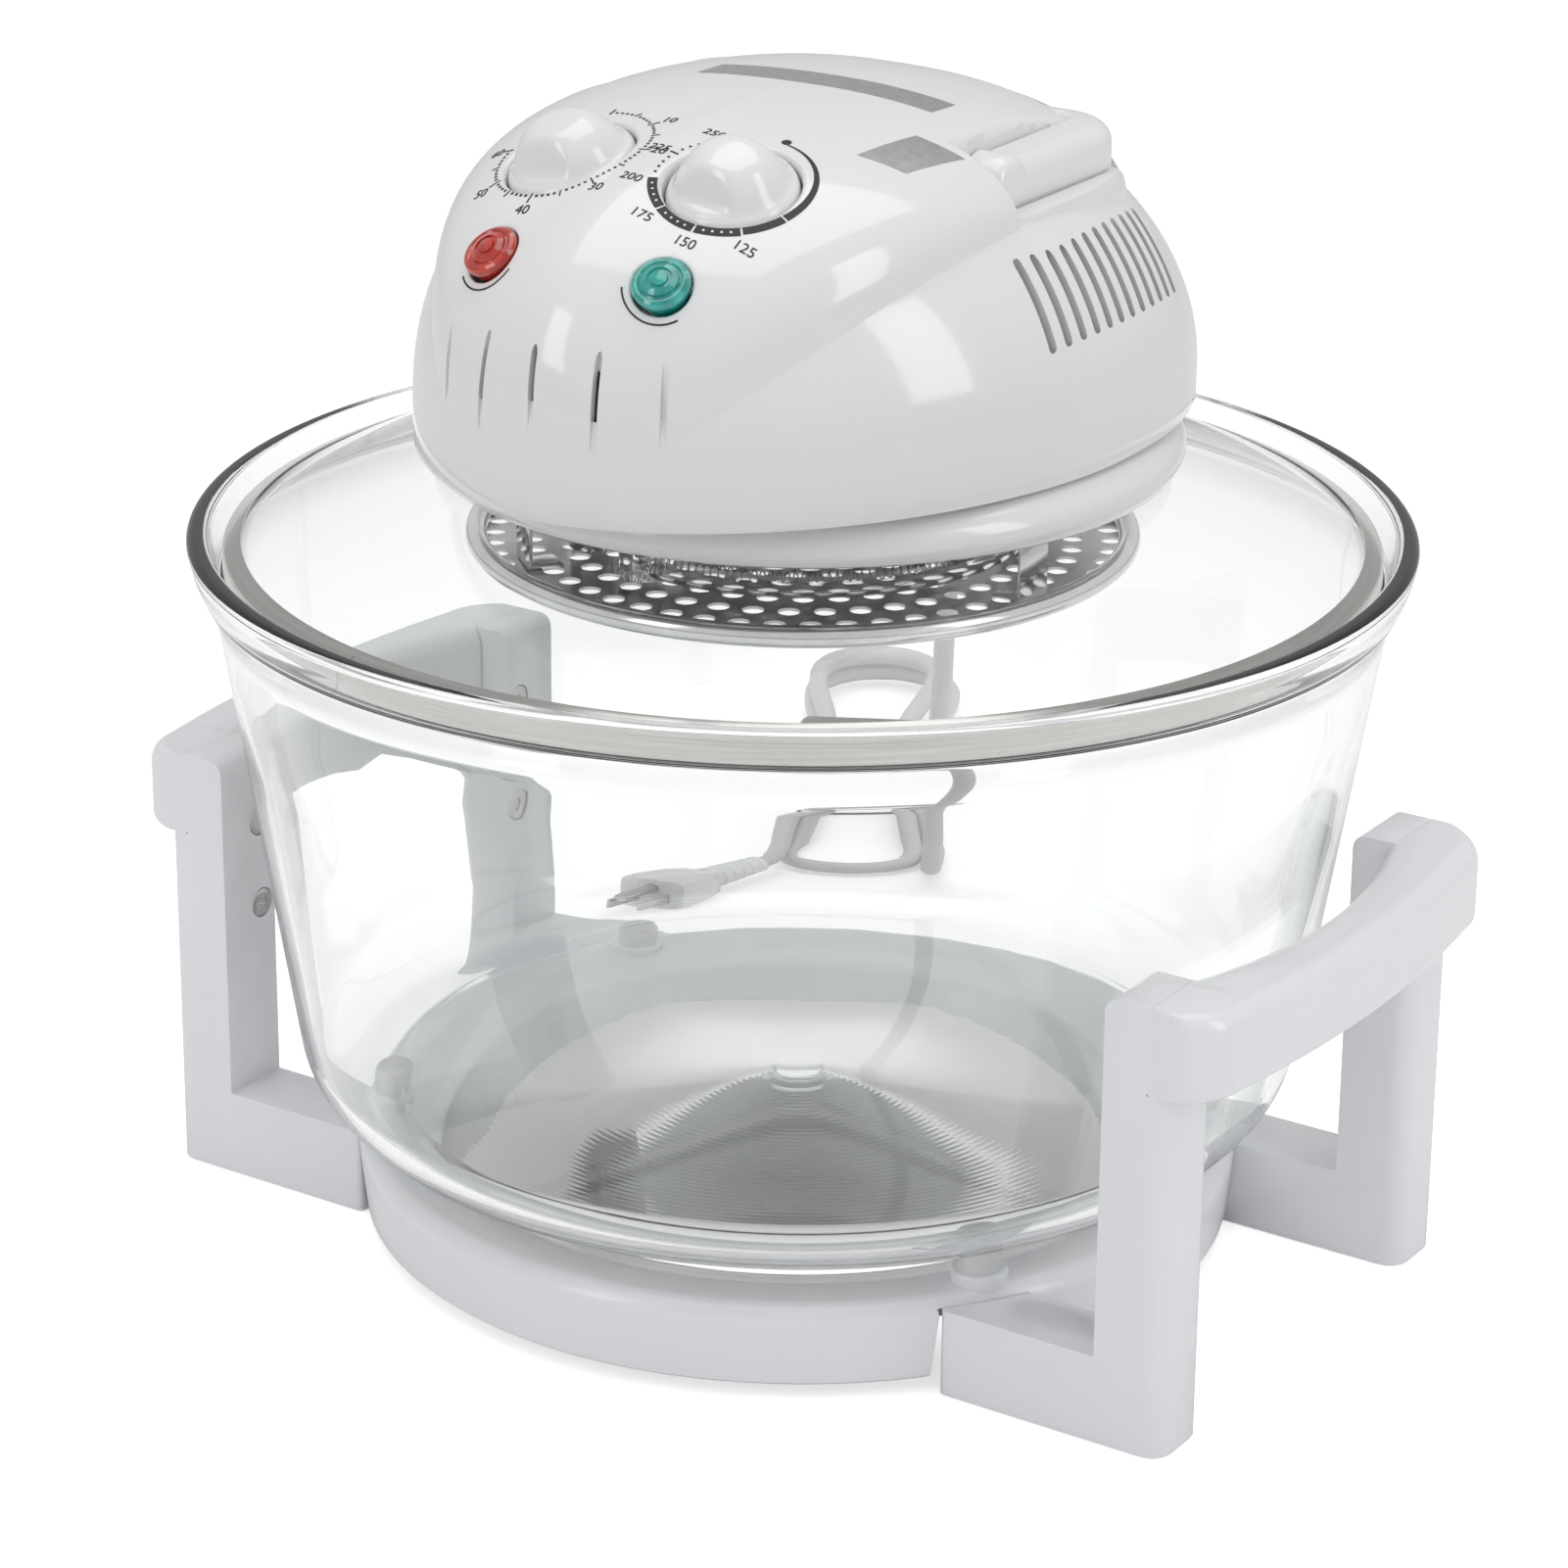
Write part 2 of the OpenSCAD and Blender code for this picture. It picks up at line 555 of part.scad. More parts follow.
// Space that the handle needs: its channel, both open sides and the sweep of its grip
module handle_space() {
  inner = arm_reach - 13 - arm_gap;
  translate([0, 0, channel_z]) linear_extrude(height = 60) channel_plan(0);
  for (s = [-1, 1]) translate([s * (channel_in + 20), channel_front + 32, pivot_z + 21])
    cube([40, 64, 52], center = true);
  difference() {
    translate([0, pivot_y + 50, pivot_z + 30]) cube([2 * channel_in, 100, 60], center = true);
    translate([-100, pivot_y, pivot_z]) rotate([0, 90, 0]) cylinder(r = inner, h = 200, $fn = 96);
    translate([0, channel_back + 50, pivot_z]) cube([300, 100, 100], center = true);
  }
}

// Large top cover with the knob wells, the lens holes, the front grooves and the handle's channel
module top_cover() {
  color(white) difference() {
    union() {
      intersection() {
        difference() {
          union() {
            body_solid(0);
            cover_solid(0);
          }
          body_solid(wall);
          cover_solid(wall);
        }
        cover_prism(0);
      }
      intersection() {
        union() {
          body_solid(wall / 2);
          cover_solid(wall / 2);
        }
        cover_prism(-0.5);
        union() {
          translate([0, 0, channel_z - wall]) linear_extrude(height = 60) channel_plan(wall);
          for (side = [-1, 1]) on_dial(side)
            translate([0, 0, -well_depth - wall]) cylinder(r = well_r + wall, h = 30, $fn = 48);
        }
      }
    }
    handle_space();
    for (side = [-1, 1]) {
      on_dial(side) {
        translate([0, 0, -well_depth]) cylinder(r = well_r, h = 60, $fn = 64);
        translate([0, 0, -well_depth - 10]) cylinder(r = 3.6, h = 20, $fn = 32);
      }
      on_lens(side) translate([0, 0, -12]) cylinder(r = lens_r - 0.6, h = 24, $fn = 48);
    }
    rotate([0, 90, 0]) translate([-pivot_z, pivot_y, -channel_in - 10])
      cylinder(r = 2.7, h = 2 * channel_in + 20, $fn = 32);
    for (k = [0 : grooves - 1]) let(a = (k - (grooves - 1) / 2) * 8.1)
      rotate([0, 0, a]) translate([0, -cover_front - 0.6 + abs(a) * 0.1, wall_z + 26])
        rotate([-4, 0, 0]) cube([1.6, 3.4, 21], center = true);
  }
}

// Indicator lenses
module lens(side) {
  on_lens(side) rotate_extrude($fn = 48)
    polygon([[0, -8], [lens_r - 1, -8], [lens_r - 1, 0.7], [lens_r + 0.6, 0.7], [lens_r + 0.4, 1.8],
      [lens_r - 1.6, 3.2], [lens_r - 3.6, 4], [0, 4.4]]);
}
module power_lens() { color("red") lens(-1); }
module heat_lens() { color("turquoise") lens(1); }

// Knob with a domed grip bar across it, turning in its well on its shaft
module knob(side, depth) {
  r = well_r - knob_gap;
  color(white) on_dial(side) difference() {
    union() {
      translate([0, 0, knob_gap - well_depth]) rotate_extrude($fn = 64)
        polygon([[0, 0], [r - 0.5, 0], [r, 1], [r, 4.5], [r - 1, 6.4], [r - 3, 7.6], [r - 6.5, 8.6],
          [0, 9]]);
      intersection() {
        rotate_extrude($fn = 64)
          polygon([[0, -1], [r - 3, -1], [r - 3, 2], [r - 4.5, 6], [r - 8, 9.4], [r - 13, 11.2], [0, 11.8]]);
        translate([0, 0, 5]) cube([2 * r, 21, 14], center = true);
      }
      translate([0, 0, -well_depth - depth]) cylinder(r = 3, h = depth + 1, $fn = 32);
    }
    for (s = [-1, 1]) translate([0, s * (r + 3), 9]) rotate([0, 90, 0])
      cylinder(r = 10.5, h = 3 * r, center = true, $fn = 48);
  }
}
module timer_knob() { knob(-1, wall + 5); }
module thermostat_knob() { knob(1, wall + 5); }

// Clockwork timer and thermostat, fixed under the wells
module control_unit(side, w, d, h) {
  on_dial(side) translate([0, 0, -well_depth - wall - seat]) difference() {
    union() {
      translate([0, 0, -h / 2 - 1]) cube([w, d, h], center = true);
      cylinder(r = 9, h = 2, center = true, $fn = 32);
      for (s = [-1, 1]) translate([s * (w / 2 - 4), 0, -h - 3]) cube([1, 6, 8], center = true);
    }
    cylinder(r = 3 + fit, h = 20, center = true, $fn = 32);
    translate([0, 0, 10]) cube([60, 60, 20], center = true);
  }
}
module timer_unit() { color("goldenrod") control_unit(-1, 38, 34, 22); }
module thermostat_unit() { color("silver") control_unit(1, 30, 26, 16); }

// Heater

// Steel disc that closes the collar and carries the motor
module heat_shield() {
  color(steel) difference() {
    translate([0, 0, shield_z + seat]) tube(spigot_r - wall - 0.4, 1, bore_r + 3);
    for (a = [60, 200, 290]) rotate([0, 0, a]) translate([76, 0, shield_z - 1])
      cylinder(r = 2.4, h = 4, $fn = 24);
  }
}

// Bright dish over the heating tube, its flange clamped under the glass
module reflector() {
  a = reflector_r;
  b = flange_r;
  color(steel) difference() {
    rotate_extrude($fn = 96) polygon([
      [bore_r + 1, reflector_z], [40, reflector_z], [44, reflector_z + 1.5], [a - 6, reflector_z + 1.5],
      [a - 2, reflector_z], [a, glass_under(lid_hole_r) - 3.3], [b, glass_under(b) - 2.5],
      [b, glass_under(b) - 1.7], [a + 0.4, glass_under(lid_hole_r) - 2.2],
      [a - 2, reflector_z + reflector_t + 0.3], [a - 6, reflector_z + 1.5 + reflector_t],
      [44, reflector_z + 1.5 + reflector_t], [40, reflector_z + reflector_t],
      [bore_r + 1, reflector_z + reflector_t]]);
    on_tube_ends() translate([0, 0, reflector_z - 2]) cylinder(r = tube_r + 1, h = 6, $fn = 32);
    rotate([0, 0, 60]) translate([76, 0, reflector_z - 2]) cylinder(r = 2.3, h = 6, $fn = 24);
  }
}

// Ring of glass tube with both ends turned up through the reflector
tube_start = -103;
tube_sweep = 332;
module on_tube_ends() {
  for (a = [tube_start, tube_start + tube_sweep]) rotate([0, 0, a]) translate([tube_ring_r, 0, 0])
    children();
}
module halogen_tube() {
  color("lavender", 0.6) {
    rotate([0, 0, tube_start]) translate([0, 0, tube_z]) rotate_extrude(angle = tube_sweep, $fn = 96)
      translate([tube_ring_r, 0]) difference() {
        circle(r = tube_r, $fn = 24);
        circle(r = tube_r - 1, $fn = 24);
      }
    on_tube_ends() translate([0, 0, tube_z - tube_r - 0.6])
      cylinder(r = tube_r + 0.6, h = reflector_z - tube_z + tube_r + 6, $fn = 32);
  }
}

// Ceramic caps on the ends of the tube, above the reflector
module tube_caps() {
  color("ivory") on_tube_ends() translate([0, 0, reflector_z + 3]) difference() {
    cylinder(r = tube_r + 2.6, h = 8, $fn = 32);
    translate([0, 0, -1]) cylinder(r = tube_r + 0.7, h = 4.2, $fn = 32);
  }
}
module heating_filament() {
  color("dimgray") rotate([0, 0, tube_start + 8]) rotate_extrude(angle = tube_sweep - 16, $fn = 96)
    translate([tube_ring_r, tube_z]) circle(r = 0.8, $fn = 16);
}

// Perforated guard under the heater
module guard_plate() {
  pitch = 10.5;
  rows = 8;
  color(dark_steel) translate([0, 0, guard_z]) linear_extrude(height = guard_t) difference() {
    circle(r = guard_r - rim_bar_r - 0.2, $fn = 96);
    for (k = [0 : rows - 1]) let(r = guard_r - 8 - pitch * k, n = max(1, round(2 * PI * r / 9.6)))
      for (i = [0 : n - 1]) rotate(360 * (i + (k % 2) / 2) / n) translate([r, 0])
        circle(r = guard_hole_d / 2, $fn = 24);
  }
}
module guard_rim() {
  color(steel) rotate_extrude($fn = 128) translate([guard_r - rim_bar_r, guard_z + rim_bar_r])
    difference() {
      circle(r = rim_bar_r, $fn = 24);
      translate([-rim_bar_r, 0.01 - rim_bar_r]) square([rim_bar_r, guard_t + 0.15]);
    }
}
module guard_strips() {
  r = 80;
  color(steel) for (a = [-127, -7, 113]) rotate([0, 0, a]) translate([r, 0, 0]) {
    translate([-0.5, -6, guard_z + guard_t + seat]) cube([1, 12, reflector_z - guard_z - guard_t - 0.4]);
    translate([-9, -6, guard_z + guard_t + seat]) cube([9, 12, 1]);
    translate([-9, -6, reflector_z - 1.3]) cube([9, 12, 1]);
  }
}

// Drive
module fan_motor() {
  color(dark_steel) difference() {
    union() {
      translate([0, 0, motor_z + seat]) cylinder(r = 24, h = 4, $fn = 48);
      translate([0, 0, motor_z + 3]) cylinder(r = 14, h = 12, $fn = 48);
      for (s = [-1, 1]) translate([s * 22, 0, motor_z + seat]) cylinder(r = 3, h = 15, $fn = 24);
      translate([0, 0, stack_z + stack_h / 2]) cube([58, 50, stack_h], center = true);
      translate([0, 0, stack_z + stack_h - 1]) cylinder(r = 12, h = 7, $fn = 48);
    }
    cylinder(r = bore_r, h = 400, $fn = 32);
  }
}
module fan_shaft() {
  color(steel) translate([0, 0, guard_z + 6]) cylinder(r = shaft_r, h = fan_z + 10 - guard_z - 6, $fn = 32);
}
module blades(n, r0, r1, h, pitch_angle) {
  for (i = [0 : n - 1]) rotate([0, 0, 360 * i / n]) translate([r0, 0, 0]) rotate([pitch_angle, 0, 0])
    translate([0, -0.6, -h / 2]) cube([r1 - r0, 1.2, h]);
}
module impeller() {
  color(steel) translate([0, 0, guard_z + 12]) difference() {
    union() {
      cylinder(r = 9, h = 7, center = true, $fn = 40);
      blades(6, 7, impeller_r, 10, 55);
    }
    cylinder(r = shaft_r, h = 20, center = true, $fn = 32);
  }
}
module cooling_fan() {
  color("gray") translate([0, 0, fan_z]) difference() {
    union() {
      cylinder(r = 10, h = 8, center = true, $fn = 40);
      blades(8, 8, 36, 9, 50);
    }
    cylinder(r = shaft_r, h = 20, center = true, $fn = 32);
  }
}
module thermostat_probe() {
  color(steel) rotate([0, 0, 60]) translate([76, 0, guard_z + 12])
    cylinder(r = 2, h = shield_z + 14 - guard_z - 12, $fn = 24);
}
module safety_switch() {
  color("dimgray") translate([channel_in - wall - 9.8, pivot_y - 11, pivot_z - 23]) cube([9.7, 22, 13]);
}
module terminal_block() {
  color("ivory") translate([-18, 52, motor_z + seat]) difference() {
    cube([36, 16, 12]);
    for (i = [0 : 2]) translate([6 + 12 * i, 8, 6]) cylinder(r = 2.6, h = 10, $fn = 24);
  }
}

// Flip handle: two arms and the grip at the back, turning up on its pins

// Path of the bar in plan, from the right pivot round the back to the left pivot
function bail_path() = let(x = arm_x, y = pivot_y + arm_reach - 6.5, r = 12) concat(
  [for (i = [0 : 5]) [x, pivot_y + 1 + (y - r - pivot_y - 1) * i / 5.3]],
  arc([x - r, y - r], r, 0, 90, 5), [for (i = [1 : 5]) [(x - r) * (1 - i / 3), y]],
  arc([r - x, y - r], r, 90, 180, 5), [for (i = [5 : -1 : 0]) [-x, pivot_y + 1 + (y - r - pivot_y - 1) * i / 5.3]]);
function bail_section(path, i) =
  let(n = len(path), a = path[max(0, i - 1)], b = path[min(n - 1, i + 1)], d = (b - a) / norm(b - a),
    side = [d[1], -d[0]], q = path[i], w = (arm_w + smooth(min(1, min(i, n - 1 - i) / 9))) / 2,
    h = arm_half)
  [for (v = concat(arc([w - 7, h - 7], 7, 90, 0, 4), arc([w - 1.5, 1.5 - h], 1.5, 0, -90, 2),
    arc([1.5 - w, 1.5 - h], 1.5, 270, 180, 2), arc([2 - w, h - 2.6], 2, 180, 90, 2)))
    [q[0] + side[0] * v[0], q[1] + side[1] * v[0], pivot_z + v[1]]];
module flip_handle() {
  path = bail_path();
  color(white) difference() {
    union() {
      skin([for (i = [0 : len(path) - 1]) bail_section(path, i)]);
      for (s = [-1, 1]) translate([s * arm_x, pivot_y, pivot_z]) rotate([0, s * 90, 0])
        rotate_extrude($fn = 48) polygon(concat([[0, -arm_w / 2], [disc_r, -arm_w / 2]],
          arc([disc_r - 4, arm_w / 2 - 4], 4, 0, 90, 4), [[0, arm_w / 2]]));
    }
    for (s = [-1, 1]) translate([s * (arm_x - 3), pivot_y, pivot_z]) rotate([0, 90, 0])
      cylinder(r = 2.8, h = arm_w + 3, center = true, $fn = 32);
  }
}
module pivot_pins() {
  color(steel) for (s = [-1, 1]) translate([s * arm_in, pivot_y, pivot_z]) rotate([0, 90, 0])
    cylinder(r = 2.5, h = 2 * wall + 9, center = true, $fn = 32);
}

// Cord
hank_side = [hank_dir[1], -hank_dir[0]];
function hank_world(u, v, z) = [hank_centre[0] + hank_dir[0] * u + hank_side[0] * v,
  hank_centre[1] + hank_dir[1] * u + hank_side[1] * v, z];
hank_outer = hank_fold_r + hank_pitch;
function hank_radius(s) = s < 1 ? hank_outer - hank_pitch * s :
  s < 1.25 ? hank_fold_r : hank_fold_r + hank_pitch * (s - 1.25);
function hank_height(s) = s < 1 ? hank_low :
  s > 1.25 ? hank_low + hank_step : hank_low + hank_step * smooth(pow((s - 1) * 4, 0.6));
function hank_waist(x) = hank_draw * (1 + cos(360 * x / hank_run)) / 2;
function hank_uv(s) = let(q = s - floor(s), r = hank_radius(s), half = hank_run / 2) q < 0.25 ?
    let(x = -half + hank_run * q * 4) [x, r - hank_waist(x)] :
  q < 0.5 ? let(a = 90 - 720 * (q - 0.25)) [half + r * cos(a), r * sin(a)] :
  q < 0.75 ? let(x = half - hank_run * (q - 0.5) * 4) [x, hank_waist(x) - r] :
  let(a = 270 - 720 * (q - 0.75)) [-half + r * cos(a), r * sin(a)];
hank_rings = 42;
function hank_line() = concat([hank_world(-hank_run / 2 - cord_d, hank_outer, hank_low)],
  [for (i = [0 : hank_rings]) let(s = hank_turns * i / hank_rings, w = hank_uv(min(s, hank_turns - 0.001)))
    hank_world(w[0], w[1], hank_height(s))],
  [hank_world(-hank_run / 2 - cord_d, -hank_radius(hank_turns), hank_low + hank_step)]);
hank_start = hank_world(-hank_run / 2 - cord_d, hank_outer, hank_low);
hank_end = hank_world(-hank_run / 2 - cord_d, -hank_radius(hank_turns), hank_low + hank_step);
hank_along = [hank_dir[0], hank_dir[1], 0];

// A round tube along a line; ref is a direction that the line never takes
module cord_tube(line, ref, d, n, first, last) {
  m = len(line);
  skin([for (i = [0 : m - 1]) let(
    t0 = i == 0 ? first : i == m - 1 ? last : line[i + 1] - line[i - 1], t = t0 / norm(t0),
    s0 = ref - t * (ref * t), s = s0 / norm(s0), u = cross(t, s))
    [for (k = [0 : n - 1]) let(a = 360 * (k + 0.5) / n) line[i] + (s * cos(a) + u * sin(a)) * d / 2]]);
}

// Points of a Catmull-Rom curve through the given points, two rings for each span
function between(p0, p1, p2, p3, f) = 0.5 * (2 * p1 + (p2 - p0) * f + (2 * p0 - 5 * p1 + 4 * p2 - p3) * f * f
  + (3 * p1 - p0 - 3 * p2 + p3) * f * f * f);
function through(pts) = let(n = len(pts)) concat([for (i = [0 : n - 2], f = [0, 0.5])
  between(pts[max(0, i - 1)], pts[i], pts[i + 1], pts[min(n - 1, i + 2)], f)], [pts[n - 1]]);
lead_line = through(concat(lead_points, [hank_start - hank_along * 10, hank_start]));
tail_line = through(concat([hank_end, hank_end - hank_along * 7], tail_points, [[plug_x, plug_y, plug_z]]));

module cord_boot() {
  color(white) translate([boot_x, 0, boot_z]) rotate([-90, 0, 0]) difference() {
    translate([0, 0, 94]) rotate_extrude($fn = 32) polygon([[0, 0], [6, 0], [6, 14], [9, 14], [9, 17], [6.2, 19],
      [6.2, 21], [5.4, 21], [5.4, 23], [6, 23], [6, 26], [5.2, 26], [5.2, 28], [5.7, 28], [5.7, 31],
      [4.9, 31], [4.9, 33], [5.3, 33], [4.6, boot_end - 94], [0, boot_end - 94]]);
    translate([0, 0, 93]) cylinder(r = cord_d / 2 - 0.4, h = 20, $fn = 24);
  }
}
module cord_lead() {
  color("white") cord_tube(lead_line, [0.88, 0.47, 0], cord_d, cord_sides, [0, 1, 0], hank_along);
}
module cord_hank() {
  color("white") cord_tube(hank_line(), [0, 0, 1], cord_d, 6, hank_along, -hank_along);
}
module cord_tail() {
  color("white") cord_tube(tail_line, [0, 0, 1], cord_d, cord_sides, -hank_along, [0, -1, 0]);
}
echo(hank_least_gap = min([for (i = [0 : 3 : 42], j = [0 : 42]) let(a = hank_line()[i + 1], b = hank_line()[j + 1])
  abs(i - j) > 6 ? norm(a - b) - cord_d : 99]));

// Band round the waist of the hank
module hank_tie() {
  half = hank_outer - hank_draw + cord_d / 2 + 0.6;
  top = hank_low + hank_step + cord_d / 2 + 0.8;
  color("dimgray") translate([hank_centre[0], hank_centre[1], 0])
    rotate([0, 0, atan2(hank_side[1], hank_side[0])]) translate([0, 4, 0]) rotate([90, 0, 0])
      linear_extrude(height = 8) difference() {
        polygon(round_box(-half - 1, half + 1, 0.1, top + 1, 4, 4));
        polygon(round_box(-half, half, 1, top, 3.5, 3.5));
      }
}

// Plug
module plug_boot() {
  color(white) translate([plug_x, plug_y, plug_z]) rotate([90, 0, 0]) rotate_extrude($fn = 32)
    polygon(concat([[0, 0], [4.4, 0]], [for (i = [0 : 4], v = [[5, 1], [5, 4], [4.3, 4.4], [4.3, 6.4]])
      [v[0] + 0.35 * i, v[1] + 6 * i]], [[7, 32], [7, 34], [0, 34]]));
}
module mains_plug() {
  color(white) translate([plug_x, plug_y - 34, plug_z]) rotate([90, 0, 0]) difference() {
    skin([for (k = [[0, 15, 13], [3, 19, 15], [10, 22, 18], [24, 26, 21], [30, 26, 21]])
      [for (v = round_box(-k[1] / 2, k[1] / 2, -k[2] / 2, k[2] / 2, 4, 4)) [v[0], v[1], k[0]]]]);
    for (s = [-1, 1]) translate([s * 6.35, -2, 20]) cube([1.7, 6.5, 30], center = true);
    translate([0, 5, 20]) cylinder(r = 2.5, h = 11, $fn = 24);
  }
}
module plug_pins() {
  color(steel) translate([plug_x, plug_y - 34, plug_z]) rotate([90, 0, 0]) {
    for (s = [-1, 1]) translate([s * 6.35, -2, 33]) cube([1.5, 6.3, 26], center = true);
    translate([0, 5, 20.5]) cylinder(r = 2.4, h = 28, $fn = 24);
  }
}

base_ring();
leg_front_right();
leg_front_left();
leg_rear_right();
leg_rear_left();
handle_right();
handle_left();
handle_screws();
bowl_pads();
glass_bowl();
lid_glass();
lid_band();
lid_collar();
lid_gasket();
head_base();
head_housing();
top_cover();
heat_shield();
reflector();
halogen_tube();
tube_caps();
heating_filament();
guard_plate();
guard_rim();
guard_strips();
fan_motor();
fan_shaft();
impeller();
cooling_fan();
timer_unit();
thermostat_unit();
thermostat_probe();
safety_switch();
terminal_block();
power_lens();
heat_lens();
timer_knob();
thermostat_knob();
flip_handle();
pivot_pins();
cord_boot();
cord_lead();
cord_hank();
cord_tail();
hank_tie();
plug_boot();
mains_plug();
plug_pins();
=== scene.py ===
import math

import bmesh
import bpy
from mathutils import Matrix, Vector
from mathutils.bvhtree import BVHTree


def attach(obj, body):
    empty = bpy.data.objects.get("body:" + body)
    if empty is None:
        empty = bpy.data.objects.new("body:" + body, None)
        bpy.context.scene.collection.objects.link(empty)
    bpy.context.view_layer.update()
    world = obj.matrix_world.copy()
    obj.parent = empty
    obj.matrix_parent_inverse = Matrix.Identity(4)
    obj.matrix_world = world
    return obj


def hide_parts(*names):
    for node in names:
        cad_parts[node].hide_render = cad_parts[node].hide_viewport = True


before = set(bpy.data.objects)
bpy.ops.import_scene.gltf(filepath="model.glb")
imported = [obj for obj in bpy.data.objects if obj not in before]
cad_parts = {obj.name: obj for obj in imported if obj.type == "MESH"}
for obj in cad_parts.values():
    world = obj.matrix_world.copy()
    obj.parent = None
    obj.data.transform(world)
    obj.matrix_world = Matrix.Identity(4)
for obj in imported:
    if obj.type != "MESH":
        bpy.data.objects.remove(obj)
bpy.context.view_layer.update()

MM = 0.001
TAU = 2 * math.pi


# Camera

def place_camera():
    """The photograph's place, height and turn."""
    place = Vector((0.73722, -1.13089, 0.65629))
    yaw, pitch, roll = 0.58112425, 0.372271395, 0.00870262
    ahead = Vector((-math.sin(yaw) * math.cos(pitch), math.cos(yaw) * math.cos(pitch), -math.sin(pitch)))
    right = Vector((math.cos(yaw), math.sin(yaw), 0))
    up = right.cross(ahead)
    turned_right = right * math.cos(roll) + up * math.sin(roll)
    turned_up = up * math.cos(roll) - right * math.sin(roll)
    data = bpy.data.cameras.new("camera")
    data.lens = 5236.64 / 1601 * 36
    data.sensor_width = 36
    camera = bpy.data.objects.new("camera", data)
    bpy.context.scene.collection.objects.link(camera)
    turn = Matrix((turned_right, turned_up, -ahead)).transposed().to_4x4()
    camera.matrix_world = Matrix.Translation(place) @ turn
    bpy.context.scene.camera = camera


place_camera()


# Helpers for making pieces

def arc(cx, cz, r, a0, a1, n):
    """n + 1 points of an arc, in degrees."""
    return [
        (cx + r * math.cos(math.radians(a0 + (a1 - a0) * i / n)),
         cz + r * math.sin(math.radians(a0 + (a1 - a0) * i / n)))
        for i in range(n + 1)
    ]


def nothing_selected():
    if bpy.context.object and bpy.context.object.mode != "OBJECT":
        bpy.ops.object.mode_set(mode="OBJECT")
    bpy.ops.object.select_all(action="DESELECT")


def only(obj):
    nothing_selected()
    obj.select_set(True)
    bpy.context.view_layer.objects.active = obj


def clean(obj, doubles=1e-6):
    """Merges doubles and turns the faces outwards."""
    only(obj)
    bpy.ops.object.mode_set(mode="EDIT")
    bpy.ops.mesh.select_all(action="SELECT")
    bpy.ops.mesh.remove_doubles(threshold=doubles)
    bpy.ops.mesh.dissolve_degenerate(threshold=1e-7)
    bpy.ops.mesh.normals_make_consistent(inside=False)
    bpy.ops.object.mode_set(mode="OBJECT")


def apply_all(obj):
    only(obj)
    for m in list(obj.modifiers):
        bpy.ops.object.modifier_apply(modifier=m.name)


def bevelled(obj, width, segments=3, angle=35):
    m = obj.modifiers.new("edges", "BEVEL")
    m.width = width * MM
    m.segments = segments
    m.limit_method = "ANGLE"
    m.angle_limit = math.radians(angle)
    m.harden_normals = False
    apply_all(obj)


def cut(obj, tool, operation="DIFFERENCE"):
    """Cuts or joins a tool and deletes it; the slower solver is for meshes that the first refuses."""
    for solver in ("MANIFOLD", "EXACT"):
        before = len(obj.data.vertices)
        m = obj.modifiers.new("cut", "BOOLEAN")
        m.operation = operation
        m.solver = solver
        m.object = tool
        apply_all(obj)
        if len(obj.data.vertices) != before:
            break
    bpy.data.objects.remove(tool, do_unlink=True)


def joined(objs):
    nothing_selected()
    for o in objs:
        o.select_set(True)
    bpy.context.view_layer.objects.active = objs[0]
    bpy.ops.object.join()
    return objs[0]


def settle(obj):
    """Puts a piece's place, turn and size into its mesh."""
    only(obj)
    bpy.ops.object.transform_apply(location=True, rotation=True, scale=True)
    return obj


def smooth(obj, angle=35):
    only(obj)
    bpy.ops.object.shade_smooth_by_angle(angle=math.radians(angle))


def dress(obj, body, material, stands_for=(), angle=35):
    """Gives a finished piece its finish, smooth shading and body, and hides the CAD nodes that it stands for."""
    obj.data.materials.clear()
    obj.data.materials.append(material)
    smooth(obj, angle)
    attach(obj, body)
    if stands_for:
        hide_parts(*stands_for)
    return obj


def spun(name, profile, steps=160):
    """A closed profile of (radius, height) in mm, spun round the upright axis."""
    nothing_selected()
    bpy.ops.mesh.primitive_circle_add(vertices=len(profile), radius=0.1, fill_type="NOTHING")
    obj = bpy.context.object
    obj.name = name
    for v, (r, z) in zip(obj.data.vertices, profile):
        v.co = (r * MM, 0, z * MM)
    bpy.ops.object.mode_set(mode="EDIT")
    bpy.ops.mesh.select_all(action="SELECT")
    bpy.ops.mesh.spin(steps=steps, angle=TAU, center=(0, 0, 0), axis=(0, 0, 1))
    bpy.ops.object.mode_set(mode="OBJECT")
    clean(obj)
    return obj


def lofted(name, rings, round_trip=False):
    """A skin over rings of equally many points, in mm. Each ring is a bmesh loop bridged to the next."""
    mesh = bpy.data.meshes.new(name)
    bm = bmesh.new()
    rows = [[bm.verts.new([c * MM for c in p]) for p in ring] for ring in rings]
    n = len(rows[0])
    pairs = list(zip(rows, rows[1:]))
    if round_trip:
        pairs.append((rows[-1], rows[0]))
    for a, b in pairs:
        for i in range(n):
            bm.faces.new((a[i], a[(i + 1) % n], b[(i + 1) % n], b[i]))
    if not round_trip:
        bm.faces.new(rows[0])
        bm.faces.new(rows[-1])
    bm.to_mesh(mesh)
    bm.free()
    obj = bpy.data.objects.new(name, mesh)
    bpy.context.scene.collection.objects.link(obj)
    clean(obj)
    return obj


def rod(name, radius, depth, place, turn=(0, 0, 0), vertices=64):
    nothing_selected()
    bpy.ops.mesh.primitive_cylinder_add(
        vertices=vertices, radius=radius * MM, depth=depth * MM,
        location=[c * MM for c in place], rotation=turn)
    obj = bpy.context.object
    obj.name = name
    return obj


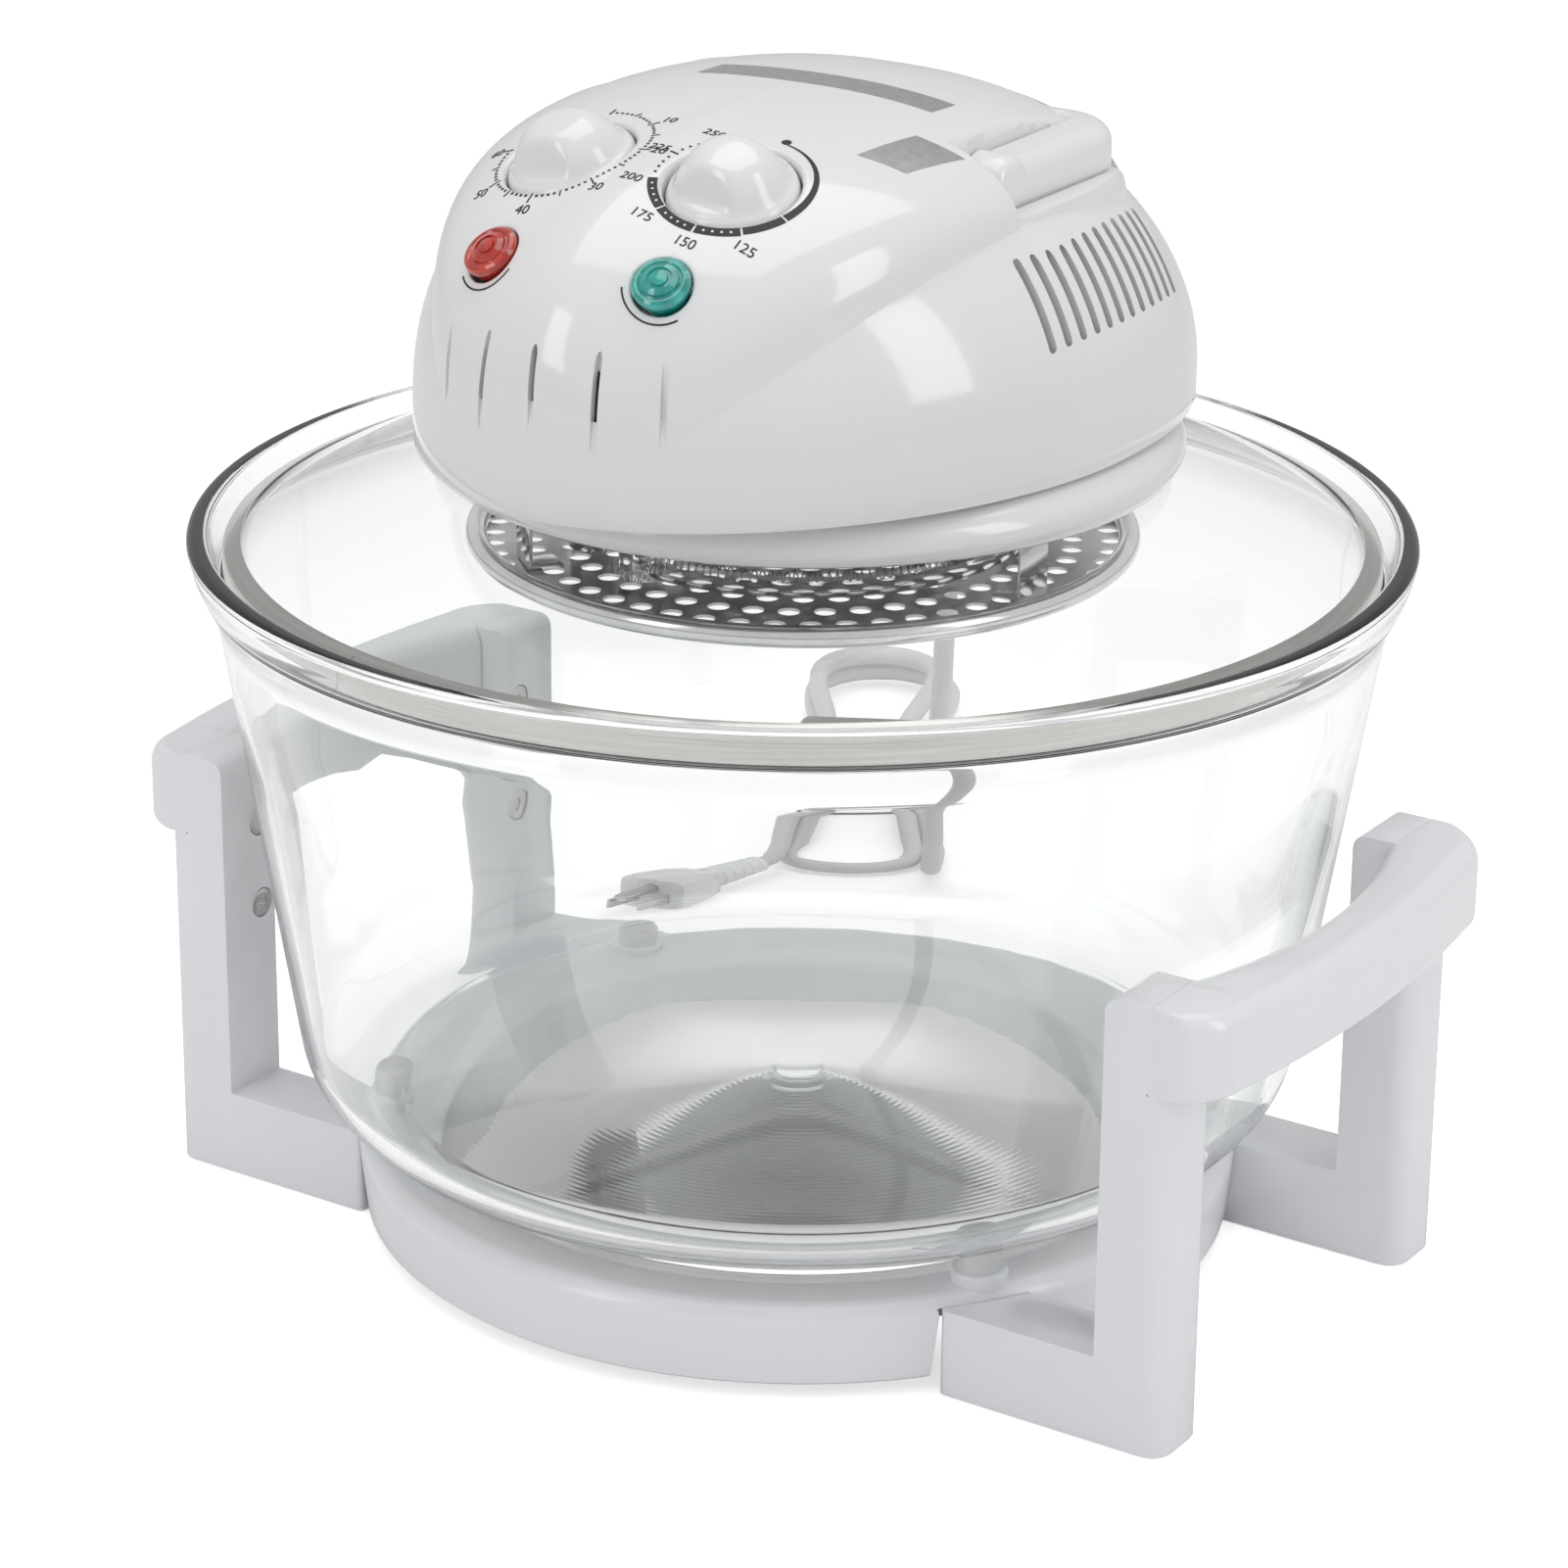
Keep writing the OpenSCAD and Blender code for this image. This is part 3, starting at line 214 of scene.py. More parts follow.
def block(name, size, place, turn=(0, 0, 0)):
    nothing_selected()
    bpy.ops.mesh.primitive_cube_add(size=1, location=[c * MM for c in place], rotation=turn)
    obj = bpy.context.object
    obj.name = name
    obj.scale = [c * MM for c in size]
    only(obj)
    bpy.ops.object.transform_apply(location=False, rotation=False, scale=True)
    return obj


def finished_copy(node, name, width=0.0, segments=2):
    """A copy of a CAD node with its triangles merged and its edges rounded."""
    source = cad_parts[node]
    obj = bpy.data.objects.new(name, source.data.copy())
    bpy.context.scene.collection.objects.link(obj)
    only(obj)
    bpy.ops.object.mode_set(mode="EDIT")
    bpy.ops.mesh.select_all(action="SELECT")
    bpy.ops.mesh.remove_doubles(threshold=2e-6)
    bpy.ops.mesh.dissolve_limited(angle_limit=math.radians(1))
    bpy.ops.object.mode_set(mode="OBJECT")
    if width:
        bevelled(obj, width, segments)
    return obj


# Materials

def tree_of(name):
    m = bpy.data.materials.new(name)
    m.use_nodes = True
    nodes = m.node_tree.nodes
    nodes.clear()
    out = nodes.new("ShaderNodeOutputMaterial")
    shader = nodes.new("ShaderNodeBsdfPrincipled")
    m.node_tree.links.new(shader.outputs[0], out.inputs[0])
    return m, nodes, m.node_tree.links, shader, out


def two_tone(nodes, links, factor, low, high, start, end):
    """Colour that goes from low to high as the factor goes from start to end."""
    ramp = nodes.new("ShaderNodeValToRGB")
    for stop, at, colour in zip(ramp.color_ramp.elements, (start, end), (low, high)):
        stop.position = at
        stop.color = (*colour, 1)
    links.new(factor, ramp.inputs["Fac"])
    return ramp.outputs["Color"]


def ranged(nodes, links, factor, low, high):
    """The factor, stretched to go from low to high."""
    spread = nodes.new("ShaderNodeMapRange")
    spread.inputs["To Min"].default_value = low
    spread.inputs["To Max"].default_value = high
    links.new(factor, spread.inputs["Value"])
    return spread.outputs["Result"]


def noise(nodes, links, where, scale, detail=2):
    cloud = nodes.new("ShaderNodeTexNoise")
    cloud.inputs["Scale"].default_value = scale
    cloud.inputs["Detail"].default_value = detail
    links.new(where, cloud.inputs["Vector"])
    return cloud.outputs["Fac"]


def bumped(nodes, links, height, shader, strength, distance):
    bump = nodes.new("ShaderNodeBump")
    bump.inputs["Strength"].default_value = strength
    bump.inputs["Distance"].default_value = distance
    links.new(height, bump.inputs["Height"])
    links.new(bump.outputs["Normal"], shader.inputs["Normal"])


def moulded(name, colour, roughness=0.22, coat=0.4, mottle=0.02, grain=0.0):
    """Moulded plastic: a faint mottle of the colour and of the gloss, with an optional fine grain."""
    m, nodes, links, shader, _ = tree_of(name)
    where = nodes.new("ShaderNodeTexCoord").outputs["Object"]
    cloud = noise(nodes, links, where, 14, 3)
    low = [max(0, c - mottle) for c in colour]
    links.new(two_tone(nodes, links, cloud, low, colour, 0.35, 0.65), shader.inputs["Base Color"])
    links.new(ranged(nodes, links, cloud, max(0.02, roughness - 0.04), roughness + 0.05), shader.inputs["Roughness"])
    shader.inputs["Coat Weight"].default_value = coat
    shader.inputs["Coat Roughness"].default_value = 0.05
    if grain:
        bumped(nodes, links, noise(nodes, links, where, 900), shader, grain, 0.0002)
    return m


def clear_glass(name, tint, shade=0.92):
    """Clear glass that lets most of the light through to what stands behind it."""
    m, nodes, links, shader, out = tree_of(name)
    shader.inputs["Base Color"].default_value = (*tint, 1)
    shader.inputs["Roughness"].default_value = 0.0
    shader.inputs["IOR"].default_value = 1.47
    shader.inputs["Transmission Weight"].default_value = 1
    where = nodes.new("ShaderNodeTexCoord").outputs["Object"]
    bumped(nodes, links, noise(nodes, links, where, 9, 1), shader, 0.25, 0.002)
    through = nodes.new("ShaderNodeBsdfTransparent")
    through.inputs["Color"].default_value = (shade, shade, shade, 1)
    path = nodes.new("ShaderNodeLightPath")
    mix = nodes.new("ShaderNodeMixShader")
    links.new(path.outputs["Is Shadow Ray"], mix.inputs["Fac"])
    links.new(shader.outputs[0], mix.inputs[1])
    links.new(through.outputs[0], mix.inputs[2])
    links.new(mix.outputs[0], out.inputs[0])
    return m


def metal(name, colour, roughness, stretch=(1, 1, 60), scale=30, strength=0.08, polish=0.08):
    """Steel with fine lines along its length and patches of polish."""
    m, nodes, links, shader, _ = tree_of(name)
    shader.inputs["Metallic"].default_value = 1
    where = nodes.new("ShaderNodeTexCoord")
    mapping = nodes.new("ShaderNodeMapping")
    mapping.inputs["Scale"].default_value = stretch
    links.new(where.outputs["Object"], mapping.inputs["Vector"])
    lines = noise(nodes, links, mapping.outputs["Vector"], scale, 4)
    low = [c * 0.85 for c in colour]
    links.new(two_tone(nodes, links, lines, low, colour, 0.3, 0.7), shader.inputs["Base Color"])
    links.new(ranged(nodes, links, lines, roughness, roughness + polish), shader.inputs["Roughness"])
    bumped(nodes, links, lines, shader, strength, 0.0002)
    return m


def lamp_lens(name, colour, deep):
    """Clear coloured plastic, in random patches of a deeper tone."""
    m, nodes, links, shader, _ = tree_of(name)
    where = nodes.new("ShaderNodeTexCoord").outputs["Object"]
    cells = noise(nodes, links, where, 240)
    links.new(two_tone(nodes, links, cells, deep, colour, 0.35, 0.7), shader.inputs["Base Color"])
    shader.inputs["Roughness"].default_value = 0.06
    shader.inputs["Transmission Weight"].default_value = 0.35
    shader.inputs["IOR"].default_value = 1.5
    shader.inputs["Coat Weight"].default_value = 1.0
    shader.inputs["Coat Roughness"].default_value = 0.02
    return m


stand_plastic = moulded("stand_plastic", (0.87, 0.88, 0.91), 0.22, 0.4)
head_plastic = moulded("head_plastic", (0.84, 0.84, 0.85), 0.14, 0.6, 0.012)
bowl_glass = clear_glass("bowl_glass", (0.95, 0.96, 0.955), shade=0.95)
lid_clear = clear_glass("lid_glass", (0.94, 0.95, 0.945), shade=0.93)
tube_glass = clear_glass("tube_glass", (0.95, 0.95, 0.95))
band_metal = metal("band_steel", (0.56, 0.55, 0.53), 0.12)
dish_metal = metal("dish_steel", (0.62, 0.62, 0.63), 0.10, (1, 1, 1), 60)
guard_metal = metal("guard_steel", (0.42, 0.42, 0.43), 0.16, (1, 1, 1), 90)
screw_metal = metal("screw_steel", (0.6, 0.6, 0.6), 0.3, (1, 1, 1), 120)
motor_metal = metal("motor_iron", (0.25, 0.25, 0.27), 0.45, (1, 1, 8), 60)
timer_metal = metal("timer_brass", (0.62, 0.48, 0.22), 0.3, (1, 1, 1), 80)
pin_metal = metal("pin_brass", (0.7, 0.69, 0.66), 0.2, (1, 1, 1), 80)
wire_metal = metal("filament_wire", (0.3, 0.28, 0.27), 0.5, (1, 1, 1), 400)
pad_rubber = moulded("pad_rubber", (0.70, 0.71, 0.72), 0.5, 0.0, 0.02, 0.2)
seal_rubber = moulded("seal_rubber", (0.06, 0.06, 0.06), 0.6, 0.0, 0.01, 0.3)
fan_plastic = moulded("fan_plastic", (0.09, 0.09, 0.1), 0.5, 0.0, 0.01, 0.2)
ceramic = moulded("cap_ceramic", (0.72, 0.70, 0.63), 0.6, 0.0, 0.04, 0.4)
cord_skin = moulded("cord_skin", (0.60, 0.60, 0.61), 0.4, 0.1, 0.02, 0.15)
ink = moulded("dial_ink", (0.012, 0.012, 0.014), 0.45, 0.0, 0.002)
light_ink = moulded("dial_white", (0.80, 0.80, 0.81), 0.4, 0.0, 0.01)
label_film = metal("label_film", (0.52, 0.52, 0.53), 0.38, (1, 1, 1), 500, 0.15)
red_lens = lamp_lens("red_lens", (0.85, 0.06, 0.025), (0.50, 0.015, 0.01))
teal_lens = lamp_lens("teal_lens", (0.05, 0.66, 0.58), (0.015, 0.36, 0.33))


# Cord: its whole line from the boot at the head to the plug, as the route in the part's source

CORD_D = 7.0
LEAD = [
    (-48, 134, 256), (-48, 148, 256), (-51, 165, 252), (-55, 179, 240), (-60, 189, 220),
    (-65, 194, 194), (-69, 197, 165), (-72, 199, 135), (-75, 201, 105), (-78, 204, 76),
    (-83, 209, 50), (-89, 218, 29), (-96, 229, 14),
]
TAIL = [(-154, 221, 11.6), (-152.5, 214.5, 10.9), (-152, 207.5, 10.6)]
HANK_CENTRE = Vector((-172, 308, 0))
HANK_DIR = Vector((-0.472, 0.8816, 0))
HANK_SIDE = Vector((0.8816, 0.472, 0))
HANK_RUN, HANK_PITCH, HANK_FOLD = 130.0, 7.8, 21.0
HANK_LOW, HANK_STEP, HANK_DRAW, HANK_TURNS = 4.8, 7.5, 9.0, 1.75


def hank_point(s):
    """The hank's line at s turns: a flat loop, then a climb to the loop above."""
    outer = HANK_FOLD + HANK_PITCH
    if s < 1:
        r, z = outer - HANK_PITCH * s, HANK_LOW
    elif s < 1.25:
        f = ((s - 1) * 4) ** 0.6
        r, z = HANK_FOLD, HANK_LOW + HANK_STEP * f * f * (3 - 2 * f)
    else:
        r, z = HANK_FOLD + HANK_PITCH * (s - 1.25), HANK_LOW + HANK_STEP
    q = s - math.floor(s)
    half = HANK_RUN / 2
    if q < 0.25:
        x = -half + HANK_RUN * q * 4
        u, v = x, r - HANK_DRAW * (1 + math.cos(TAU * x / HANK_RUN)) / 2
    elif q < 0.5:
        a = math.radians(90 - 720 * (q - 0.25))
        u, v = half + r * math.cos(a), r * math.sin(a)
    elif q < 0.75:
        x = half - HANK_RUN * (q - 0.5) * 4
        u, v = x, HANK_DRAW * (1 + math.cos(TAU * x / HANK_RUN)) / 2 - r
    else:
        a = math.radians(270 - 720 * (q - 0.75))
        u, v = -half + r * math.cos(a), r * math.sin(a)
    return HANK_CENTRE + HANK_DIR * u + HANK_SIDE * v + Vector((0, 0, z))


def through(points, n):
    """A smooth curve through the points, n steps for each span."""
    pts = [Vector(p) for p in points]
    line = []
    for i in range(len(pts) - 1):
        p0, p1, p2, p3 = pts[max(0, i - 1)], pts[i], pts[i + 1], pts[min(len(pts) - 1, i + 2)]
        for k in range(n):
            f = k / n
            line.append(0.5 * (2 * p1 + (p2 - p0) * f + (2 * p0 - 5 * p1 + 4 * p2 - p3) * f * f
                               + (3 * p1 - p0 - 3 * p2 + p3) * f ** 3))
    return line + [pts[-1]]


def cord_line():
    end = HANK_TURNS - 1e-4
    start_r = HANK_FOLD + HANK_PITCH
    end_r = HANK_FOLD + HANK_PITCH * (HANK_TURNS - 1.25)
    half = HANK_RUN / 2
    into = HANK_CENTRE - HANK_DIR * (half + 7) + HANK_SIDE * start_r + Vector((0, 0, HANK_LOW))
    out = HANK_CENTRE - HANK_DIR * (half + 7) - HANK_SIDE * end_r + Vector((0, 0, HANK_LOW + HANK_STEP))
    lead = through(LEAD + [into - HANK_DIR * 10, into], 6)
    hank = [hank_point(end * i / 126) for i in range(127)]
    tail = through([out, out - HANK_DIR * 7] + TAIL, 6)
    return lead + hank + tail


def line_length(line):
    return sum((b - a).length for a, b in zip(line, line[1:]))


def make_cord():
    line = cord_line()
    curve = bpy.data.curves.new("mains_cord", "CURVE")
    curve.dimensions = "3D"
    spline = curve.splines.new("POLY")
    spline.points.add(len(line) - 1)
    for p, q in zip(spline.points, line):
        p.co = (*[c * MM for c in q], 1)
    curve.bevel_depth = CORD_D / 2 * MM
    curve.bevel_resolution = 5
    curve.use_fill_caps = True
    cord = bpy.data.objects.new("mains_cord", curve)
    bpy.context.scene.collection.objects.link(cord)
    curve.materials.append(cord_skin)
    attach(cord, "lid")
    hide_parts("cord_lead", "cord_hank", "cord_tail")
    return cord, line_length(line) * MM


# Stand

PAD_R, PAD_A = 116.85, math.radians(31.8)


def around(profile, steps):
    """The same small spun form at each of the four places where the bowl rests."""
    made = []
    for sx in (-1, 1):
        for sy in (-1, 1):
            piece = spun("rest", profile, steps)
            piece.location = (sx * PAD_R * math.cos(PAD_A) * MM, sy * PAD_R * math.sin(PAD_A) * MM, 0)
            made.append(settle(piece))
    return made


def make_ring():
    """White ring with a rounded shoulder, hollow below, notched where the legs pass."""
    profile = ([(122.0, 4.5), (123.6, 4.1), (124.6, 4.9)] + arc(121.2, 22.7, 5.3, 2, 90, 10)
               + [(118, 28.0), (112.5, 28.0), (110, 27.7), (104, 26.0), (100.5, 25.0)]
               + arc(100.2, 22.8, 2.2, 90, 180, 6) + [(98.0, 9.0), (98.8, 8.4), (100.5, 9.0)]
               + [(100.5, 21.3), (110.5, 25.3)] + arc(121.2, 22.7, 2.6, 90, 4, 6))
    ring = spun("stand_ring", profile, 200)
    for sx in (-1, 1):
        for sy in (-1, 1):
            cut(ring, block("notch", (40, 22.9, 25.6), (sx * 112, sy * 68.25, 12.5)))
    return joined([ring] + around([(0, 26), (8, 26), (8, 30.4), (7.4, 31), (0, 31)], 40))


LEG_IN, LEG_OUT = 57.0, 79.5
POST_IN, POST_OUT, POST_NIB = 145.68, 166.68, 13.0
GRIP_Z, GRIP_TOP = 104.0, 128.5


def make_leg(node):
    leg = finished_copy(node, node + "_moulding", 0.9, 3)
    dress(leg, "stand", stand_plastic, [node], 30)


def grip_row(y):
    """One cross-section of a grip, at y: flat below, well rounded above."""
    mid, end = POST_OUT + 17, 15.0
    e = max(0.0, abs(y) - LEG_OUT + end)
    y0 = min(abs(y), LEG_OUT - end)
    bulge_x = mid - y0 * y0 / 816
    x1 = POST_OUT + (bulge_x - POST_OUT) * math.sqrt(max(0.0, 1 - (e / end) ** 2))
    inner = math.sqrt(166 ** 2 - y * y)
    shelf = POST_IN + POST_NIB
    blend = min(1.0, max(0.0, (abs(y) - LEG_IN + 0.6) / 0.6))
    x0 = inner * (1 - blend) + shelf * blend
    q = 5.5 * (1 - blend) + 0.3 * blend
    out = max(0.3, min(6.5, (x1 - x0) / 2 - 0.2))
    low = max(0.2, min(3.0, (x1 - x0) / 4))
    pts = [(x0 + 0.8, GRIP_Z)] + [(x1 - low + low * math.sin(a), GRIP_Z + low - low * math.cos(a))
                                  for a in [math.pi / 2 * k / 6 for k in range(7)]]
    pts += arc(x1 - out, GRIP_TOP - out, out, 0, 90, 12) + arc(x0 + q, GRIP_TOP - q, q, 90, 180, 10)
    pts += [(x0, GRIP_Z + 0.8)]
    return [(x, y, z) for x, z in pts]


def make_grip(side):
    end = [LEG_OUT - 15 * (1 - math.cos(math.pi / 2 * k / 14)) for k in range(15)]
    ys = sorted(set(round(v, 3) for v in end + [-v for v in end] + [LEG_IN, LEG_IN - 0.6, -LEG_IN, 0.6 - LEG_IN]
                    + [LEG_IN + 4, -LEG_IN - 4] + [i * (LEG_IN - 2) / 16 for i in range(-16, 17)]))
    grip = lofted("grip", [grip_row(y) for y in ys])
    if side < 0:
        grip.scale = (-1, 1, 1)
        settle(grip)
        clean(grip)
    return grip


for corner in ("leg_front_right", "leg_front_left", "leg_rear_right", "leg_rear_left"):
    make_leg(corner)
for side, node in ((1, "handle_right"), (-1, "handle_left")):
    grip = make_grip(side)
    grip.name = "grip_right" if side > 0 else "grip_left"
    dress(grip, "stand", stand_plastic, [node], 40)
dress(make_ring(), "stand", stand_plastic, ["base_ring"], 40)
pads = joined(around([(0, 31), (6, 31), (6, 36)] + arc(4.2, 36.4, 1.8, 0, 80, 5) + [(0, 38.3)], 48))
pads.name = "soft_pads"
dress(pads, "stand", pad_rubber, ["bowl_pads"])
screws = finished_copy("handle_screws", "stand_screws", 0.25, 2)
dress(screws, "stand", screw_metal, ["handle_screws"])


# Bowl

CONE_TOP, RIM_Z, SEAT_Z, BOWL_Z = 180.0, 208.6, 197.5, 38.5
DRAFT = math.radians(8.9)
FLAT_R, WALL_IN = 117.85, 4.5 / math.cos(math.radians(8.9))


def bowl_side(z):
    return 161.4 + (z - CONE_TOP) * math.tan(DRAFT)


def ease(x):
    return x * x * (3 - 2 * x)


def make_bowl():
    """Blown glass bowl with a flared double rim and a floor of fine ridges."""
    foot = bowl_side(RIM_Z - 25)
    outside = [(0.0, BOWL_Z)] + arc(FLAT_R, BOWL_Z + 25, 25, -90, -8.9, 18)
    outside += [(bowl_side(z), z) for z in (90, 110, 130, 150, 165, 176)]
    outside += [(foot + (169.4 - foot) * ease(i / 14), RIM_Z - 25 + i * 21 / 14) for i in range(15)]
    outside += arc(167.6, RIM_Z - 2.4, 2.4, 0, 90, 8) + arc(166, RIM_Z - 2.2, 2.2, 90, 175, 8)
    inside = [(163.2, RIM_Z - 4.5), (161.6, SEAT_Z + 1.2), (161.2, SEAT_Z + 0.3), (160.4, SEAT_Z),
              (158.2, SEAT_Z), (157.4, SEAT_Z - 0.4), (157.1, SEAT_Z - 1.4), (156.6, SEAT_Z - 12)]
    inside += [(bowl_side(SEAT_Z - 27) - WALL_IN, SEAT_Z - 27)]
    inside += [(bowl_side(z) - WALL_IN, z) for z in (150, 130, 110, 90, 75)]
    inside += arc(FLAT_R, BOWL_Z + 25, 20.5, -8.9, -80, 18)
    ridges = []
    r = 114.0
    while r > 6:
        ridges += [(r, BOWL_Z + 4.5), (r - 0.75, BOWL_Z + 4.5 + 0.42)]
        r -= 2.3
    return spun("bowl_glass_wall", outside + inside + ridges + [(0.0, BOWL_Z + 4.5)], 192)


dress(make_bowl(), "bowl", bowl_glass, ["glass_bowl"], 60)


# Lid

DOME_Z = SEAT_Z + 1.3 - math.sqrt(326 ** 2 - 158.8 ** 2)


def dome(r, radius):
    return DOME_Z + math.sqrt(radius ** 2 - r * r)


def make_lid():
    rs = [86 + 72.6 * i / 24 for i in range(25)]
    top = [(r, dome(r, 330)) for r in rs]
    under = [(r, dome(r, 326)) for r in reversed(rs)]
    return spun("lid_glass_dome", top + under, 192)


def make_band():
    """Steel band rolled round the edge of the glass, with its butt joint at the front left."""
    hi, lo = dome(158.8, 330), SEAT_Z
    profile = ([(155.1, dome(155.1, 330) + 0.15), (155.1, dome(155.1, 330) + 0.7), (156.4, dome(156.4, 330) + 0.95)]
               + arc(159.0, hi - 0.4, 1.3, 78, 0, 6) + [(160.3, (hi + lo) / 2)]
               + arc(159.3, lo + 1.3, 1.0, 0, -90, 5) + [(158.3, lo + 0.3), (155.1, dome(155.1, 326) - 0.9),
               (155.1, dome(155.1, 326) - 0.2), (158.3, dome(158.3, 326) - 0.15), (159.55, lo + 1.1),
               (159.55, hi + 0.2), (158.3, dome(158.3, 330) + 0.15)])
    band = spun("lid_band_rolled", profile, 200)
    cut(band, block("joint", (0.22, 6, 8), (160.3 * math.cos(JOINT_A), 160.3 * math.sin(JOINT_A), 201.5),
                    (0, 0, JOINT_A + math.pi / 2)))
    return band


JOINT_A = math.radians(-104)


def make_collar():
    edge = 100.7
    z0, top = dome(edge, 330), 242.2
    profile = ([(88, dome(88, 330) + 0.1), (edge, z0 + 0.1), (edge + 1.6, z0 + 0.2), (edge + 2.6, z0 + 1.0)]
               + [(103.7 + 1.3 * math.sin(math.pi / 2 * k / 6), z0 + 1.8 + (top - 9.2 - z0 - 1.8) * k / 6)
                  for k in range(1, 7)]
               + [(93.5 + 11.5 * math.cos(math.radians(a)), top - 8.6 + 8.4 * math.sin(math.radians(a)))
                  for a in range(4, 91, 6)]
               + [(93.5, 249.2), (91, 249.2), (91, 238.2), (85.5, 238.2), (85.5, dome(86, 330) + 3),
                  (88, dome(88, 330) + 2)])
    return spun("collar_ring", profile, 200)


dress(make_lid(), "lid", lid_clear, ["lid_glass"], 50)
dress(make_band(), "lid", band_metal, ["lid_band"], 50)
dress(make_collar(), "lid", head_plastic, ["lid_collar"], 40)
base = finished_copy("head_base", "head_underside", 0.6, 2)
dress(base, "lid", head_plastic, ["head_base"])
gasket = finished_copy("lid_gasket", "lid_seal")
dress(gasket, "lid", seal_rubber, ["lid_gasket"])


# Head: the outlines of the casing and of the crown that stands on it

WALL_Z, HEAD_Z, TOP_Z, CROWN_Y = 252.0, 242.2, 333.2, -1.7
DOME_H = 84.0


def oval(a, b, p, t):
    return (abs(math.cos(t) / a) ** p + abs(math.sin(t) / b) ** p) ** (-1 / p)


def casing_plan(t):
    return oval(99.5, 128, 1.82, t) if math.sin(t) < 0 else oval(99.5, 112, 2.35, t)


def crown_plan(t):
    return oval(77, 127, 2.2, t) if math.sin(t) < 0 else oval(77, 72, 3.7, t)


def casing_n(t):
    return 2.05 - 0.25 * math.sin(t)


def crown_n(t):
    return 2.22 + 0.38 * max(0.0, -math.sin(t)) - 0.27 * max(0.0, math.sin(t)) ** 1.5


def swell(f, n):
    return max(0.0, 1 - min(f, 1.0) ** n) ** (1 / n)


def casing_height(x, y, inset=0.0):
    t = math.atan2(y, x)
    return WALL_Z + (DOME_H - inset) * swell(math.hypot(x, y) / (casing_plan(t) - inset), casing_n(t))


def crown_point(t, u, inset=0.0):
    """Point of the crown at plan angle t; u runs from the foot at 0 to the top at 1."""
    n = crown_n(t)
    f, g = math.cos(u * math.pi / 2) ** (2 / n), math.sin(u * math.pi / 2) ** (2 / n)
    r = crown_plan(t) - inset
    x, y = r * math.cos(t), r * math.sin(t)
    foot = casing_height(x, y, inset)
    return (x * f, CROWN_Y * (1 - f) + y * f, foot + (TOP_Z - inset - foot) * g)


ROUND = [TAU * (i + 0.5) / 256 for i in range(256)]
RISE = [i / 44 for i in range(44)]


PIVOT_Y, PIVOT_Z = -5.5, 313.5
CHANNEL_Z, CHANNEL_IN, CHANNEL_OUT = 304.1, 56.4, 70.0
CHANNEL_FRONT, CHANNEL_BACK, GRIP_IN_Y = -14.9, 63.6, 50.0
DIAL_X, DIAL_Y, DIAL_Z = 25.5, -73.8, 322.5
PRINT_Y, PRINT_Z = -72.8, 322.9
DIAL_TILT, DIAL_TURN = math.radians(20.5), math.radians(7)
WELL_R, WELL_DEPTH, LIP = 18.0, 7.0, 1.5
LENS_X, LENS_Y, LENS_Z, LENS_R = 26.6, -107.3, 304.6, 7.2


def dial_frame(side, y=DIAL_Y, z=DIAL_Z):
    turn = Matrix.Rotation(side * DIAL_TURN, 4, "Y") @ Matrix.Rotation(DIAL_TILT, 4, "X")
    return Matrix.Translation((side * DIAL_X, y, z)) @ turn


def lens_frame(side):
    turn = Matrix.Rotation(side * math.radians(12), 4, "Y") @ Matrix.Rotation(math.radians(38), 4, "X")
    return Matrix.Translation((side * LENS_X, LENS_Y, LENS_Z)) @ turn


def placed(obj, frame_mm):
    """Moves a piece made round the origin into a frame given in mm."""
    m = frame_mm.copy()
    m.translation = m.translation * MM
    obj.data.transform(m)
    return obj


def u_plan(grow):
    """Outline of the handle's channel in plan, round the back."""
    r, q, a, b = 18.0, 9.0, CHANNEL_OUT + grow, CHANNEL_IN - grow
    back, inner = CHANNEL_BACK + grow, GRIP_IN_Y - 0.6 - grow
    outer = [(-a, CHANNEL_FRONT - grow), (a, CHANNEL_FRONT - grow)]
    outer += arc(a - r, back - r, r, 0, 90, 12) + arc(r - a, back - r, r, 90, 180, 12)
    hole = [(-b, CHANNEL_FRONT - grow)] + [(b, CHANNEL_FRONT - grow)]
    hole += arc(b - q, inner - q, q, 0, 90, 10) + arc(q - b, inner - q, q, 90, 180, 10)
    return outer, hole


def prism(name, plan, z0, z1):
    return lofted(name, [[(x, y, z0) for x, y in plan], [(x, y, z1) for x, y in plan]])


def handle_cutters():
    outer, hole = u_plan(0)
    channel = prism("channel", outer, CHANNEL_Z, CHANNEL_Z + 60)
    hole = [(x, y - (20 if y < CHANNEL_FRONT + 1 else 0)) for x, y in hole]
    cut(channel, prism("island", hole, CHANNEL_Z - 10, CHANNEL_Z + 70))
    tools = [channel]
    for s in (-1, 1):
        tools.append(block("side", (40, 64, 52), (s * (CHANNEL_IN + 20), CHANNEL_FRONT + 32, PIVOT_Z + 21)))
    sweep = block("sweep", (2 * CHANNEL_IN, 72.6, 60), (0, PIVOT_Y + 36.3 - 3.5, PIVOT_Z + 30))
    cut(sweep, rod("sweep_inner", 54.9, 200, (0, PIVOT_Y, PIVOT_Z), (0, math.pi / 2, 0), 160))
    tools.append(sweep)
    return tools


